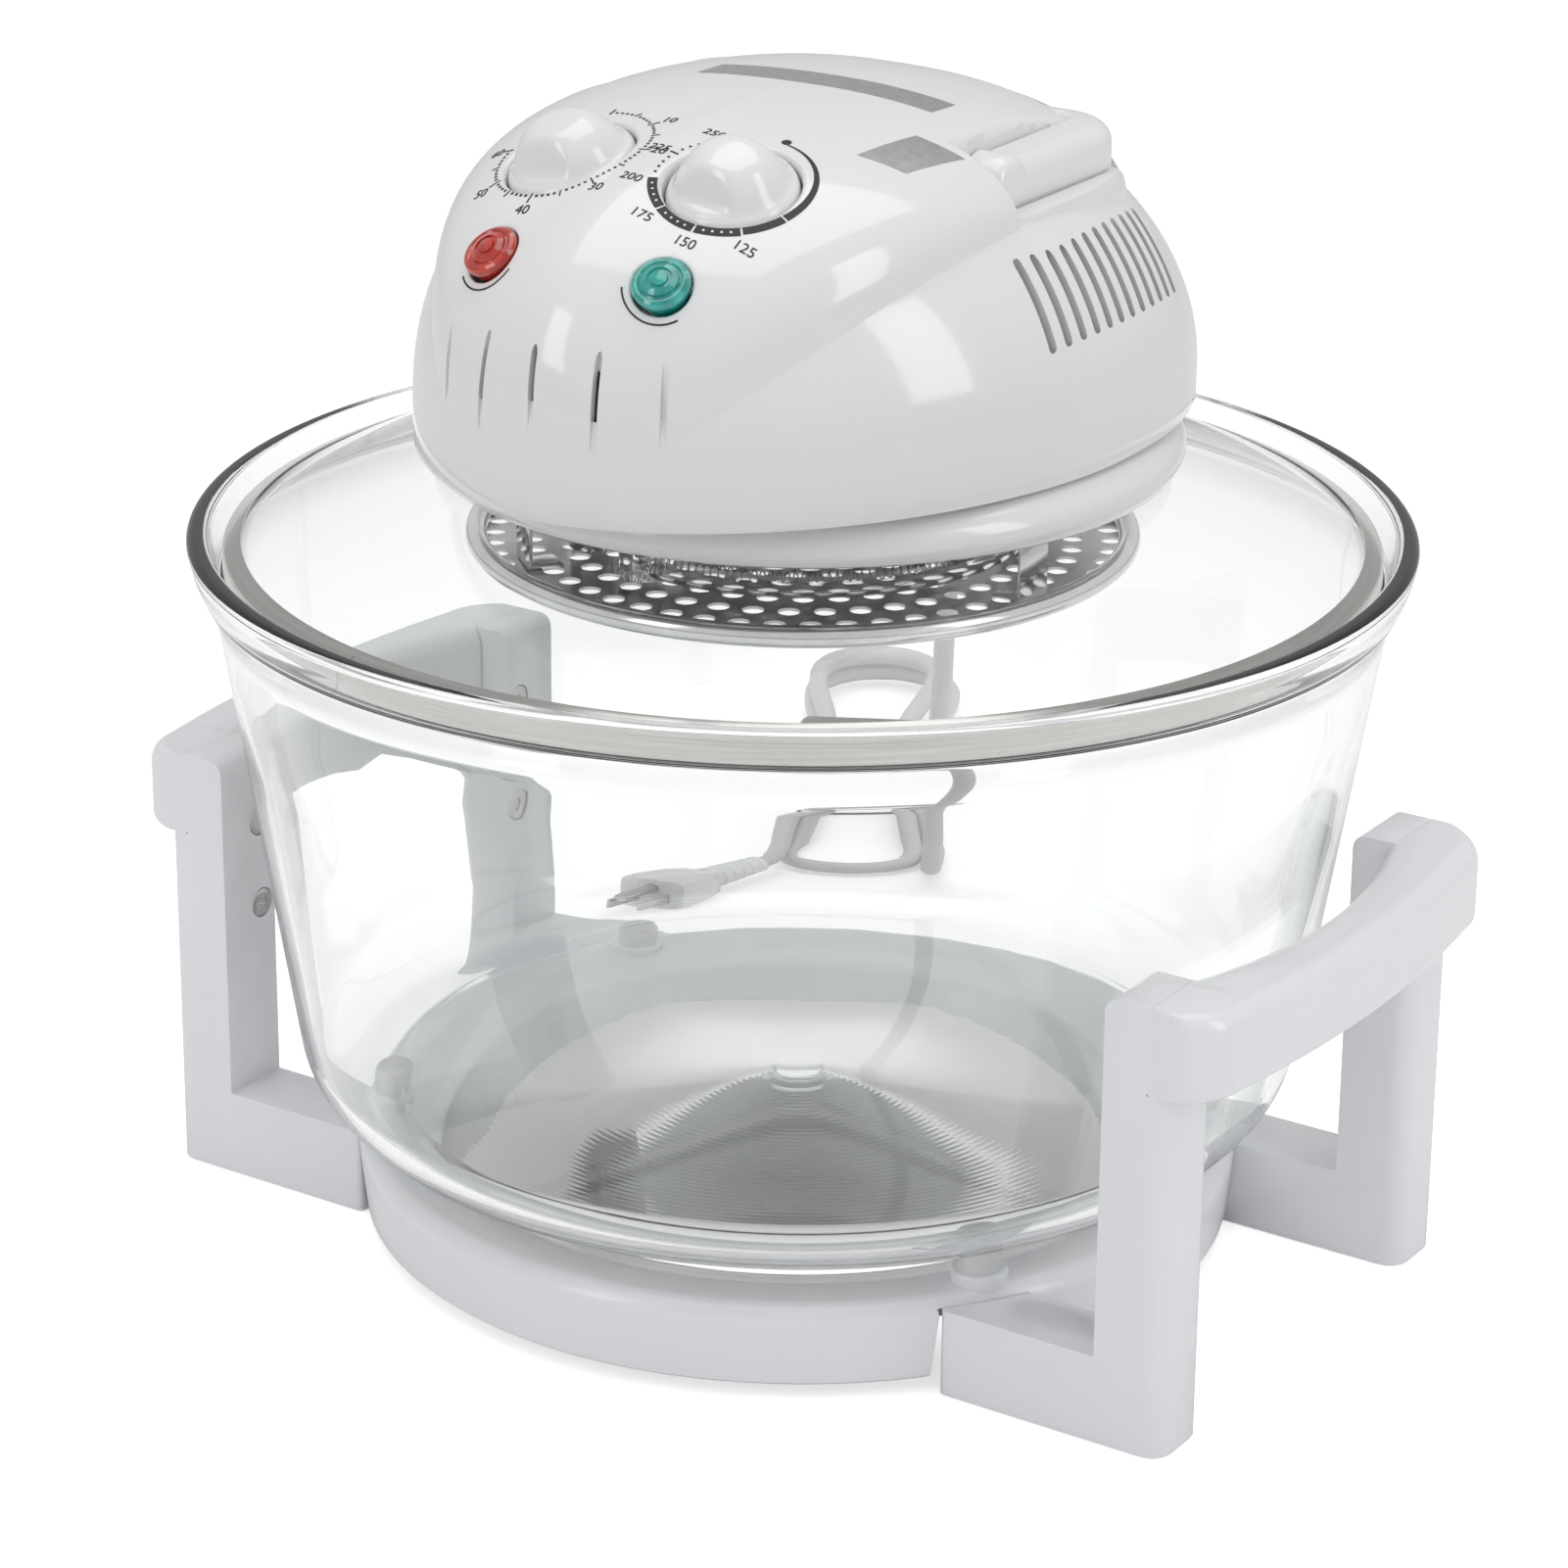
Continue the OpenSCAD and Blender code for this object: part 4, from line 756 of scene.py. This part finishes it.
def channel_distance(x, y):
    """How far a point of the plan lies outside the handle's channel."""
    ax = abs(x)
    dx = max(CHANNEL_IN - ax, 0.0)
    if ax >= CHANNEL_IN:
        return CHANNEL_FRONT - y
    if y < CHANNEL_FRONT:
        return math.hypot(dx, CHANNEL_FRONT - y)
    inner = GRIP_IN_Y - 0.6
    if y > inner:
        return 99.0
    cx, cy = CHANNEL_IN - 9, inner - 9
    if ax > cx and y > cy:
        return 9 - math.hypot(ax - cx, y - cy)
    return min(dx, inner - y)


EDGE_R = 3.2
COVER_WALL, CEILING_Z = 2.5, 301.0
PRINT_THICK = 0.08


def refined(obj, wanted, longest, rounds=2):
    """Subdivides the faces that are wanted until their edges are short."""
    for _ in range(rounds):
        bm = bmesh.new()
        bm.from_mesh(obj.data)
        edges = set()
        for f in bm.faces:
            if wanted(f) and max(e.calc_length() for e in f.edges) > longest * MM:
                edges.update(f.edges)
        bmesh.ops.subdivide_edges(bm, edges=list(edges), cuts=1, use_grid_fill=True)
        bmesh.ops.triangulate(bm, faces=[f for f in bm.faces if len(f.verts) > 4 and wanted(f)])
        bm.to_mesh(obj.data)
        bm.free()


def soften_channel(obj):
    """Rounds the crown's shoulder down into the handle's channel."""
    def wanted(f):
        c = f.calc_center_median() / MM
        return f.normal.z > 0.2 and c.z > CHANNEL_Z and -1.0 < channel_distance(c.x, c.y) < EDGE_R + 1.2
    refined(obj, wanted, 0.5)
    for v in obj.data.vertices:
        x, y, z = v.co / MM
        if z > CHANNEL_Z + 2:
            d = channel_distance(x, y)
            if -6 < d < EDGE_R:
                d = max(d, 0.0)
                drop = EDGE_R - math.sqrt(EDGE_R ** 2 - (EDGE_R - d) ** 2)
                v.co.z -= min(drop, EDGE_R * 0.92) * MM


def soften_mouth(obj, place, radius, lip):
    """Rounds the edge of a round mouth that is cut along the axis of a frame."""
    back = place.inverted()
    axis = place.to_3x3() @ Vector((0, 0, 1))

    def wanted(f):
        p = back @ (f.calc_center_median() / MM)
        away = math.hypot(p.x, p.y) - radius
        return abs(p.z) < 9 and f.normal.dot(axis) > 0.3 and -1.2 < away < lip + 0.8
    refined(obj, wanted, lip / 3, 3)
    for v in obj.data.vertices:
        p = back @ (v.co / MM)
        d = math.hypot(p.x, p.y) - radius
        if abs(p.z) < 9 and v.normal.dot(axis) > 0.2 and -1.2 < d < lip:
            d = max(d, 0.0)
            v.co -= axis * min(lip - math.sqrt(lip ** 2 - (lip - d) ** 2), lip * 0.95) * MM


def casing_ring(t, u, inset):
    n = casing_n(t)
    r = (casing_plan(t) - inset) * math.cos(u * math.pi / 2) ** (2 / n)
    return (r * math.cos(t), r * math.sin(t),
            WALL_Z + (DOME_H - inset) * math.sin(u * math.pi / 2) ** (2 / n))


def casing_last(t, inset):
    """How far the casing climbs before it meets the crown's foot."""
    f = (crown_plan(t) - 1.5) / (casing_plan(t) - inset)
    return math.acos(min(1.0, f) ** (casing_n(t) / 2)) / (math.pi / 2)


def make_casing():
    steps = 26
    rings = []
    for dr, z in ((1.0, HEAD_Z), (0.3, HEAD_Z + 0.3), (0.0, HEAD_Z + 1.0), (0.0, WALL_Z - 2)):
        rings.append([((casing_plan(t) - dr) * math.cos(t), (casing_plan(t) - dr) * math.sin(t), z) for t in ROUND])
    for i in range(steps + 1):
        rings.append([casing_ring(t, casing_last(t, 0) * i / steps, 0) for t in ROUND])
    for i in range(steps, -1, -1):
        rings.append([casing_ring(t, casing_last(t, COVER_WALL) * i / steps, COVER_WALL) for t in ROUND])
    rings.append([((casing_plan(t) - COVER_WALL) * math.cos(t), (casing_plan(t) - COVER_WALL) * math.sin(t), HEAD_Z)
                  for t in ROUND])
    casing = lofted("head_casing", rings, round_trip=True)
    slots = []
    for s in (-1, 1):
        for k in range(12):
            y = -24 + 6.5 * k
            place = (s * (85.5 - 0.0022 * y * y), y, 286)
            slot = block("slot", (24, 2.9, 20), place, (0, s * math.radians(35), 0))
            bevelled(slot, 1.1, 3)
            slots.append(slot)
    cut(casing, joined(slots))
    cut(casing, rod("boot_hole", 6.2, 80, (-48, 100, 256), (math.pi / 2, 0, 0), 48))
    return casing


def make_crown():
    inner = []
    for i in range(40, -1, -2):
        inner.append([(x, y, min(z, CEILING_Z)) for x, y, z in (crown_point(t, RISE[i], COVER_WALL) for t in ROUND)])
    foot_in = [(x, y, max(WALL_Z + 0.4, z - 1.2)) for x, y, z in (crown_point(t, 0, COVER_WALL) for t in ROUND)]
    foot = [(x, y, max(WALL_Z + 0.4, z - 1.2)) for x, y, z in (crown_point(t, 0, 0) for t in ROUND)]
    outer = [[crown_point(t, u, 0) for t in ROUND] for u in RISE]
    return lofted("head_crown", inner + [foot_in, foot] + outer)


def surface_of(obj):
    bm = bmesh.new()
    bm.from_mesh(obj.data)
    tree = BVHTree.FromBMesh(bm)
    bm.free()
    return tree


def carve_crown(crown):
    soften_channel(crown)
    for side in (-1, 1):
        soften_mouth(crown, dial_frame(side), WELL_R, LIP)
        soften_mouth(crown, lens_frame(side), LENS_R + 0.9, 0.6)
    for tool in handle_cutters():
        cut(crown, tool)
    wells, seats = [], []
    for side in (-1, 1):
        well = placed(spun("well", [(0, -WELL_DEPTH), (WELL_R - 0.8, -WELL_DEPTH)]
                           + arc(WELL_R - 0.8, 0.8 - WELL_DEPTH, 0.8, -90, 0, 4) + [(WELL_R, 16), (0, 16)], 128),
                      dial_frame(side))
        wells.append(well)
        seat = spun("seat", [(0, -6), (LENS_R + 0.9, -6), (LENS_R + 0.9, 10), (0, 10)], 96)
        seats.append(placed(seat, lens_frame(side)))
    cut(crown, joined(wells))
    cut(crown, joined(seats))
    grooves = []
    for k in range(5):
        a = math.radians((k - 2) * 8.1)
        turn = Matrix.Rotation(a, 4, "Z")
        outline = [(0, -0.9), (0.5, -0.6), (0.9, 0), (0.9, 23), (0.5, 24.4), (0, 25)]
        outline += [(-x, z) for x, z in reversed(outline[1:-1])]
        rows = []
        for depth, lean in ((-134.0, 0.0), (-123.6 + abs(k - 2) * 1.3, 0.075)):
            rows.append([tuple(turn @ Vector((x, depth + lean * z, 263.5 + z))) for x, z in outline])
        grooves.append(lofted("groove", rows))
    cut(crown, joined(grooves))
    cut(crown, rod("pin_hole", 2.7, 134, (0, PIVOT_Y, PIVOT_Z), (0, math.pi / 2, 0), 48))
    clean(crown)
    return crown


casing = make_casing()
dress(casing, "lid", head_plastic, ["head_housing"], 32)
crown = make_crown()
crown_surface = surface_of(crown)
carve_crown(crown)
dress(crown, "lid", head_plastic, ["top_cover"], 32)


# Dials

def blend_low(a, b, k):
    h = max(0.0, min(1.0, 0.5 + 0.5 * (b - a) / k))
    return b * (1 - h) + a * h - k * h * (1 - h)


def line_at(x, points):
    for (x0, y0), (x1, y1) in zip(points, points[1:]):
        if x <= x1:
            return y0 + (y1 - y0) * (x - x0) / (x1 - x0)
    return points[-1][1]


def knob_height(x, y, r_max):
    """Height of a knob over its well: a shallow disc with a domed bar, its sides scooped for the fingers."""
    r = math.hypot(x, y)
    disc = line_at(r, [(0, 2.4), (r_max - 6.5, 2.0), (r_max - 3, 1.1), (r_max - 1, 0.1), (r_max, -1.4)])
    dome = 11.8 - 11.0 * (r / (r_max - 2.2)) ** 3.2
    flank = 11.6 - 10.4 * ease(max(0.0, min(1.0, (abs(y) - 6.4) / 7.0)))
    bar = blend_low(dome, flank, 1.6)
    return -blend_low(-disc, -bar, 1.4)


def make_knob(side, name):
    r_max = WELL_R - 0.6
    rings, n = [], 144
    for r, z in ((2.9, -WELL_DEPTH - 7.4), (2.9, 0.62 - WELL_DEPTH), (r_max - 0.8, 0.62 - WELL_DEPTH),
                 (r_max - 0.2, 1.0 - WELL_DEPTH), (r_max, 1.6 - WELL_DEPTH)):
        rings.append([(r * math.cos(TAU * i / n), r * math.sin(TAU * i / n), z) for i in range(n)])
    across = [r_max - 1.2 - (r_max - 1.9) * k / 34 for k in range(35)]
    for r in [r_max, r_max - 0.12, r_max - 0.4, r_max - 0.8] + across:
        ring = []
        for i in range(n):
            x, y = r * math.cos(TAU * i / n), r * math.sin(TAU * i / n)
            z = knob_height(x, y, r_max)
            if r > r_max - 0.9:
                z -= 0.9 - math.sqrt(max(0.0, 0.81 - (r - r_max + 0.9) ** 2))
            ring.append((x, y, z))
        rings.append(ring)
    return placed(lofted(name, rings), dial_frame(side))


dress(make_knob(-1, "timer_dial"), "timer_knob", head_plastic, ["timer_knob"], 50)
dress(make_knob(1, "thermostat_dial"), "thermostat_knob", head_plastic, ["thermostat_knob"], 50)


def make_lens(side, name):
    profile = [(0, -5.8), (LENS_R - 1, -5.8), (LENS_R + 0.5, -0.9), (LENS_R + 0.6, -0.2)]
    profile += [(LENS_R + 0.2, 0.8), (LENS_R - 0.6, 1.3), (LENS_R - 1.2, 1.3), (LENS_R - 1.7, 0.9), (5.1, 1.1),
                (4.9, 1.7), (3.4, 2.3), (3.2, 1.8), (2.4, 1.9), (2.2, 2.5), (1.0, 2.8), (0, 2.9)]
    return placed(spun(name, profile, 48), lens_frame(side))


dress(make_lens(-1, "power_lamp_lens"), "lid", red_lens, ["power_lens"], 20)
dress(make_lens(1, "heat_lamp_lens"), "lid", teal_lens, ["heat_lens"], 20)


# Prints on the crown: flat shapes in a dial's plane, laid onto the surface along the dial's axis

def strip(r0, r1, a0, a1, wide=None):
    """An arc band from radius r0 to r1; wide gives the inner radius at the far end."""
    n = max(2, int(abs(a1 - a0) / 2.5))
    outer = arc(0, 0, r1, a0, a1, n)
    inner = []
    for i in range(n + 1):
        r = r0 + ((wide if wide is not None else r0) - r0) * i / n
        a = math.radians(a0 + (a1 - a0) * i / n)
        inner.append((r * math.cos(a), r * math.sin(a)))
    quads = [[outer[i], outer[i + 1], inner[i + 1], inner[i]] for i in range(n)]
    return quads


def mark(r0, r1, a, width):
    c, s = math.cos(math.radians(a)), math.sin(math.radians(a))
    h = width / 2
    return [[(r0 * c - h * s, r0 * s + h * c), (r0 * c + h * s, r0 * s - h * c),
             (r1 * c + h * s, r1 * s - h * c), (r1 * c - h * s, r1 * s + h * c)]]


def dot(x, y, r, n=16):
    return [[(x + r * math.cos(TAU * i / n), y + r * math.sin(TAU * i / n)) for i in range(n)]]


def moved(shapes, dx, dy):
    return [[(x + dx, y + dy) for x, y in s] for s in shapes]


def number(text, x, y, size):
    """Outline mesh of a plain number, as faces in the plane."""
    nothing_selected()
    bpy.ops.object.text_add()
    obj = bpy.context.object
    obj.data.body = text
    obj.data.size = size
    obj.data.align_x = "CENTER"
    obj.data.align_y = "CENTER"
    obj.data.resolution_u = 4
    bpy.ops.object.convert(target="MESH")
    faces = []
    for f in obj.data.polygons:
        pts = [obj.data.vertices[i].co for i in f.vertices]
        faces.append([(x + p.x, y + p.y) for p in pts])
    bpy.data.objects.remove(obj, do_unlink=True)
    return faces


def printed(name, shapes, place, material, lift=0.1):
    """Lays shapes of a frame's plane onto the crown and gives them a thickness."""
    bm = bmesh.new()
    axis = place.to_3x3() @ Vector((0, 0, 1))
    for shape in shapes:
        verts = []
        for x, y in shape:
            start = place @ Vector((x, y, 25))
            hit, normal, _, _ = crown_surface.ray_cast(start * MM, -axis, 0.08)
            if hit is None:
                verts = []
                break
            verts.append(bm.verts.new(hit + axis * lift * MM))
        if len(verts) > 2:
            f = bm.faces.new(verts)
            f.normal_update()
            if f.normal.dot(axis) < 0:
                f.normal_flip()
    bmesh.ops.remove_doubles(bm, verts=bm.verts, dist=1e-6)
    mesh = bpy.data.meshes.new(name)
    bm.to_mesh(mesh)
    bm.free()
    obj = bpy.data.objects.new(name, mesh)
    bpy.context.scene.collection.objects.link(obj)
    m = obj.modifiers.new("thickness", "SOLIDIFY")
    m.thickness = PRINT_THICK * MM
    m.offset = 0
    apply_all(obj)
    dress(obj, "lid", material, (), 40)


def timer_print():
    shapes = []
    for minute in range(0, 61):
        a = 95 - 4.63 * minute
        if minute % 10 == 0:
            shapes += mark(20.6, 24.0, a, 0.45)
        elif minute % 5 == 0:
            shapes += mark(21.0, 23.4, a, 0.4)
        else:
            shapes += mark(21.2, 22.0, a, 0.75)
    shapes = moved(shapes, 0, 1.2)
    for tens in range(1, 7):
        a = math.radians(95 - 46.3 * tens)
        shapes += number(str(tens * 10), 26.6 * math.cos(a), 1.2 + 26.6 * math.sin(a), 4.4)
    return shapes


def thermostat_print():
    black, white = [], []
    black += moved(dot(0, 0, 1.35, 24), 22.7 * math.cos(math.radians(88)), 22.7 * math.sin(math.radians(88)))
    n = 40
    for i in range(n):
        a0, a1 = 86 - 103 * i / n, 86 - 103 * (i + 1) / n
        w0, w1 = 0.3 + 1.9 * (i / n) ** 0.8, 0.3 + 1.9 * ((i + 1) / n) ** 0.8
        black += strip(21.8 - w0, 21.8, a0, a1, 21.8 - w1)
    black += strip(19.6, 21.9, -18.6, -49.8)
    for low in (125, 150, 175):
        a0 = -50.5 - 1.386 * (low - 125) - 0.9
        a1 = -50.5 - 1.386 * (low - 100) + 0.9
        black += strip(19.6, 22.2, a0, a1)
        for k in range(4):
            a = math.radians(a0 + (a1 - a0) * (k + 1) / 5)
            white += dot(20.9 * math.cos(a), 20.9 * math.sin(a), 0.36, 12)
    for low in (200, 225):
        a0 = -50.5 - 1.386 * (low - 125)
        a1 = -50.5 - 1.386 * (low - 100)
        for k in range(1, 5):
            a = math.radians(a0 + (a1 - a0) * k / 5)
            black += dot(20.9 * math.cos(a), 20.9 * math.sin(a), 0.42, 12)
        black += mark(19.8, 22.6, a1, 0.55)
    for value, r in ((125, 26.2), (150, 25.8), (175, 26.2), (200, 26.6), (225, 26.4), (250, 25.6)):
        a = math.radians(-50.5 - 1.386 * (value - 125))
        black += number(str(value), r * math.cos(a), r * math.sin(a), 4.3)
    return black, white


printed("timer_scale", timer_print(), dial_frame(-1, PRINT_Y, PRINT_Z), ink)
dark, pale = thermostat_print()
printed("thermostat_scale", dark, dial_frame(1, PRINT_Y, PRINT_Z), ink)
printed("thermostat_dots", pale, dial_frame(1, PRINT_Y, PRINT_Z), light_ink, 0.16)
for side, name in ((-1, "power_arc"), (1, "heat_arc")):
    printed(name, strip(10.0, 10.45, -150, -35), lens_frame(side), ink)


def panel(corners, n, m):
    """A four-cornered patch in steps, so that it follows the surface."""
    (a, b, c, d) = [Vector(p) for p in corners]
    def at(u, v):
        p = (a * (1 - u) + b * u) * (1 - v) + (d * (1 - u) + c * u) * v
        return (p.x, p.y)
    return [[at(i / n, j / m), at((i + 1) / n, j / m), at((i + 1) / n, (j + 1) / m), at(i / n, (j + 1) / m)]
            for i in range(n) for j in range(m)]


upright = Matrix.Translation((0, 0, 320))
printed("top_label", panel([(-28.7, -10), (42, -4.5), (42, 7.5), (-28.7, 2)], 34, 6), upright, label_film, 0.08)
printed("grey_label", panel([(44.6, -44.6), (57.5, -41.3), (62.3, -20.4), (48.6, -22.6)], 12, 14),
        upright, label_film, 0.08)


# Flip handle

ARM_X, ARM_W, ARM_HALF, ARM_REACH, DISC_R = 63.0, 12.0, 8.2, 63.0, 8.8


def make_bail():
    x, y, r = ARM_X, PIVOT_Y + ARM_REACH - 6.5, 12.0
    side = [(x, PIVOT_Y + 1 + (y - r - PIVOT_Y - 1) * i / 16) for i in range(16)]
    path = side + arc(x - r, y - r, r, 0, 90, 18) + [((x - r) * (1 - i / 12), y) for i in range(1, 24)]
    path += arc(r - x, y - r, r, 90, 180, 18) + [(-px, py) for px, py in reversed(side)]
    n = len(path)
    rings = []
    for i, q in enumerate(path):
        a, b = Vector(path[max(0, i - 1)]), Vector(path[min(n - 1, i + 1)])
        d = (b - a).normalized()
        out = Vector((d.y, -d.x))
        far = min(1.0, min(i, n - 1 - i) / 26)
        w, h = (ARM_W + ease(far)) / 2, ARM_HALF
        section = (arc(w - 6, h - 7, 6.0, 90, 0, 12) + arc(w - 1.5, 1.5 - h, 1.5, 0, -90, 4)
                   + arc(1.5 - w, 1.5 - h, 1.5, 270, 180, 4) + arc(2.6 - w, h - 2.6, 2.6, 180, 90, 6))
        rings.append([(q[0] + out.x * s, q[1] + out.y * s, PIVOT_Z + z) for s, z in section])
    bail = lofted("carry_handle", rings)
    for s in (-1, 1):
        profile = ([(0, -ARM_W / 2), (DISC_R - 0.6, -ARM_W / 2), (DISC_R, 0.6 - ARM_W / 2)]
                   + arc(DISC_R - 4, ARM_W / 2 - 4, 4, 0, 90, 10) + [(0, ARM_W / 2)])
        disc = spun("disc", profile, 96)
        turn = Matrix.Translation((s * ARM_X, PIVOT_Y, PIVOT_Z)) @ Matrix.Rotation(s * math.pi / 2, 4, "Y")
        cut(bail, placed(disc, turn), "UNION")
    holes = [rod("hole", 2.8, 15, (s * (ARM_X - 3), PIVOT_Y, PIVOT_Z), (0, math.pi / 2, 0), 40) for s in (-1, 1)]
    cut(bail, joined(holes))
    return bail


bail = make_bail()
dress(bail, "flip_handle", head_plastic, ["flip_handle"], 40)


# Heater, seen through the glass

def make_filament():
    """Wound wire inside the glass tube."""
    curve = bpy.data.curves.new("filament", "CURVE")
    curve.dimensions = "3D"
    spline = curve.splines.new("POLY")
    turns, steps = 150, 10
    a0, a1 = math.radians(-95), math.radians(221)
    n = turns * steps
    spline.points.add(n)
    for i, p in enumerate(spline.points):
        a = a0 + (a1 - a0) * i / n
        w = TAU * i / steps
        r, z = 60 + 1.3 * math.cos(w), 210.29 + 1.3 * math.sin(w)
        p.co = (r * math.cos(a) * MM, r * math.sin(a) * MM, z * MM, 1)
    curve.bevel_depth = 0.22 * MM
    curve.bevel_resolution = 1
    obj = bpy.data.objects.new("wound_filament", curve)
    bpy.context.scene.collection.objects.link(obj)
    only(obj)
    bpy.ops.object.convert(target="MESH")
    return bpy.context.object


dress(make_filament(), "lid", wire_metal, ["heating_filament"], 60)


def finish_node(node, name, material, body="lid", width=0.0):
    """A finished copy of a CAD node whose shape is right."""
    piece = finished_copy(node, name, width)
    dress(piece, body, material, [node])
    return piece


finish_node("guard_plate", "heater_guard", guard_metal)
finish_node("reflector", "heater_dish", dish_metal)
finish_node("halogen_tube", "halogen_lamp", tube_glass)
finish_node("tube_caps", "lamp_caps", ceramic, width=0.4)
finish_node("guard_rim", "guard_bead", dish_metal)
finish_node("guard_strips", "guard_brackets", dish_metal, width=0.2)
finish_node("impeller", "air_impeller", dish_metal, "fan", 0.25)
finish_node("fan_shaft", "drive_shaft", screw_metal, "fan", 0.4)
finish_node("cooling_fan", "cooling_blades", fan_plastic, "fan", 0.25)
finish_node("heat_shield", "shield_disc", dish_metal)
finish_node("fan_motor", "motor_stack", motor_metal, width=0.4)
finish_node("timer_unit", "clockwork_timer", timer_metal, width=0.4)
finish_node("thermostat_unit", "thermostat_body", screw_metal, width=0.4)
finish_node("thermostat_probe", "probe_tube", screw_metal)
finish_node("safety_switch", "cut_out_switch", fan_plastic, width=0.4)
finish_node("terminal_block", "wire_block", ceramic, width=0.4)
finish_node("pivot_pins", "hinge_pins", screw_metal, width=0.3)


# Plug and cord

finish_node("cord_boot", "cord_relief", head_plastic, width=0.25)
finish_node("hank_tie", "cord_tie", seal_rubber, width=0.3)
plug_relief = finish_node("plug_boot", "plug_relief", head_plastic, width=0.25)
plug_body = finish_node("mains_plug", "plug_moulding", head_plastic, width=0.8)
plug_blades = finish_node("plug_pins", "plug_blades", pin_metal, width=0.2)

cord, cord_length = make_cord()


# Floor, world and lamps

def make_floor():
    nothing_selected()
    bpy.ops.mesh.primitive_plane_add(size=12, location=(0, 0, -0.0004))
    floor = bpy.context.object
    floor.name = "floor"
    m, nodes, links, shader, _ = tree_of("floor_paper")
    shader.inputs["Base Color"].default_value = (0.93, 0.93, 0.93, 1)
    cloud = noise(nodes, links, nodes.new("ShaderNodeTexCoord").outputs["Object"], 3)
    links.new(ranged(nodes, links, cloud, 0.66, 0.74), shader.inputs["Roughness"])
    path = nodes.new("ShaderNodeLightPath")
    through = nodes.new("ShaderNodeMath")
    through.operation = "MULTIPLY"
    through.inputs[1].default_value = 0.36
    links.new(path.outputs["Is Transmission Ray"], through.inputs[0])
    glow = nodes.new("ShaderNodeMath")
    glow.operation = "MULTIPLY_ADD"
    glow.inputs[1].default_value = 0.6
    links.new(path.outputs["Is Camera Ray"], glow.inputs[0])
    links.new(through.outputs[0], glow.inputs[2])
    shader.inputs["Emission Color"].default_value = (1, 1, 1, 1)
    links.new(glow.outputs[0], shader.inputs["Emission Strength"])
    floor.data.materials.append(m)


def make_world():
    """Soft studio light; what is seen directly or through glass is white."""
    world = bpy.data.worlds.new("studio")
    bpy.context.scene.world = world
    world.use_nodes = True
    nodes, links = world.node_tree.nodes, world.node_tree.links
    nodes.clear()
    out = nodes.new("ShaderNodeOutputWorld")
    soft = nodes.new("ShaderNodeBackground")
    soft.inputs["Color"].default_value = (1, 1, 1, 1)
    soft.inputs["Strength"].default_value = 0.56
    seen = nodes.new("ShaderNodeBackground")
    seen.inputs["Color"].default_value = (1, 1, 1, 1)
    seen.inputs["Strength"].default_value = 1.0
    path = nodes.new("ShaderNodeLightPath")
    most = nodes.new("ShaderNodeMath")
    most.operation = "MAXIMUM"
    links.new(path.outputs["Is Camera Ray"], most.inputs[0])
    links.new(path.outputs["Is Transmission Ray"], most.inputs[1])
    mix = nodes.new("ShaderNodeMixShader")
    links.new(most.outputs[0], mix.inputs["Fac"])
    links.new(soft.outputs[0], mix.inputs[1])
    links.new(seen.outputs[0], mix.inputs[2])
    links.new(mix.outputs[0], out.inputs["Surface"])


def make_lamp(name, place, target, size, power, size_y=None):
    data = bpy.data.lights.new(name, "AREA")
    data.energy = power
    data.size = size
    if size_y:
        data.shape = "RECTANGLE"
        data.size_y = size_y
    lamp = bpy.data.objects.new(name, data)
    bpy.context.scene.collection.objects.link(lamp)
    lamp.location = place
    lamp.rotation_euler = (Vector(target) - Vector(place)).to_track_quat("-Z", "Y").to_euler()
    return lamp


make_floor()
make_world()
make_lamp("overhead", (0.0, 0.1, 1.9), (0, 0, 0.15), 1.6, 11)
make_lamp("front_window", (-0.55, -1.7, 1.0), (0, 0, 0.25), 0.5, 4, 1.1)
make_lamp("right_window", (1.7, 0.1, 1.0), (0, 0, 0.25), 0.5, 4.5, 1.2)
bpy.context.scene.view_settings.view_transform = "Standard"
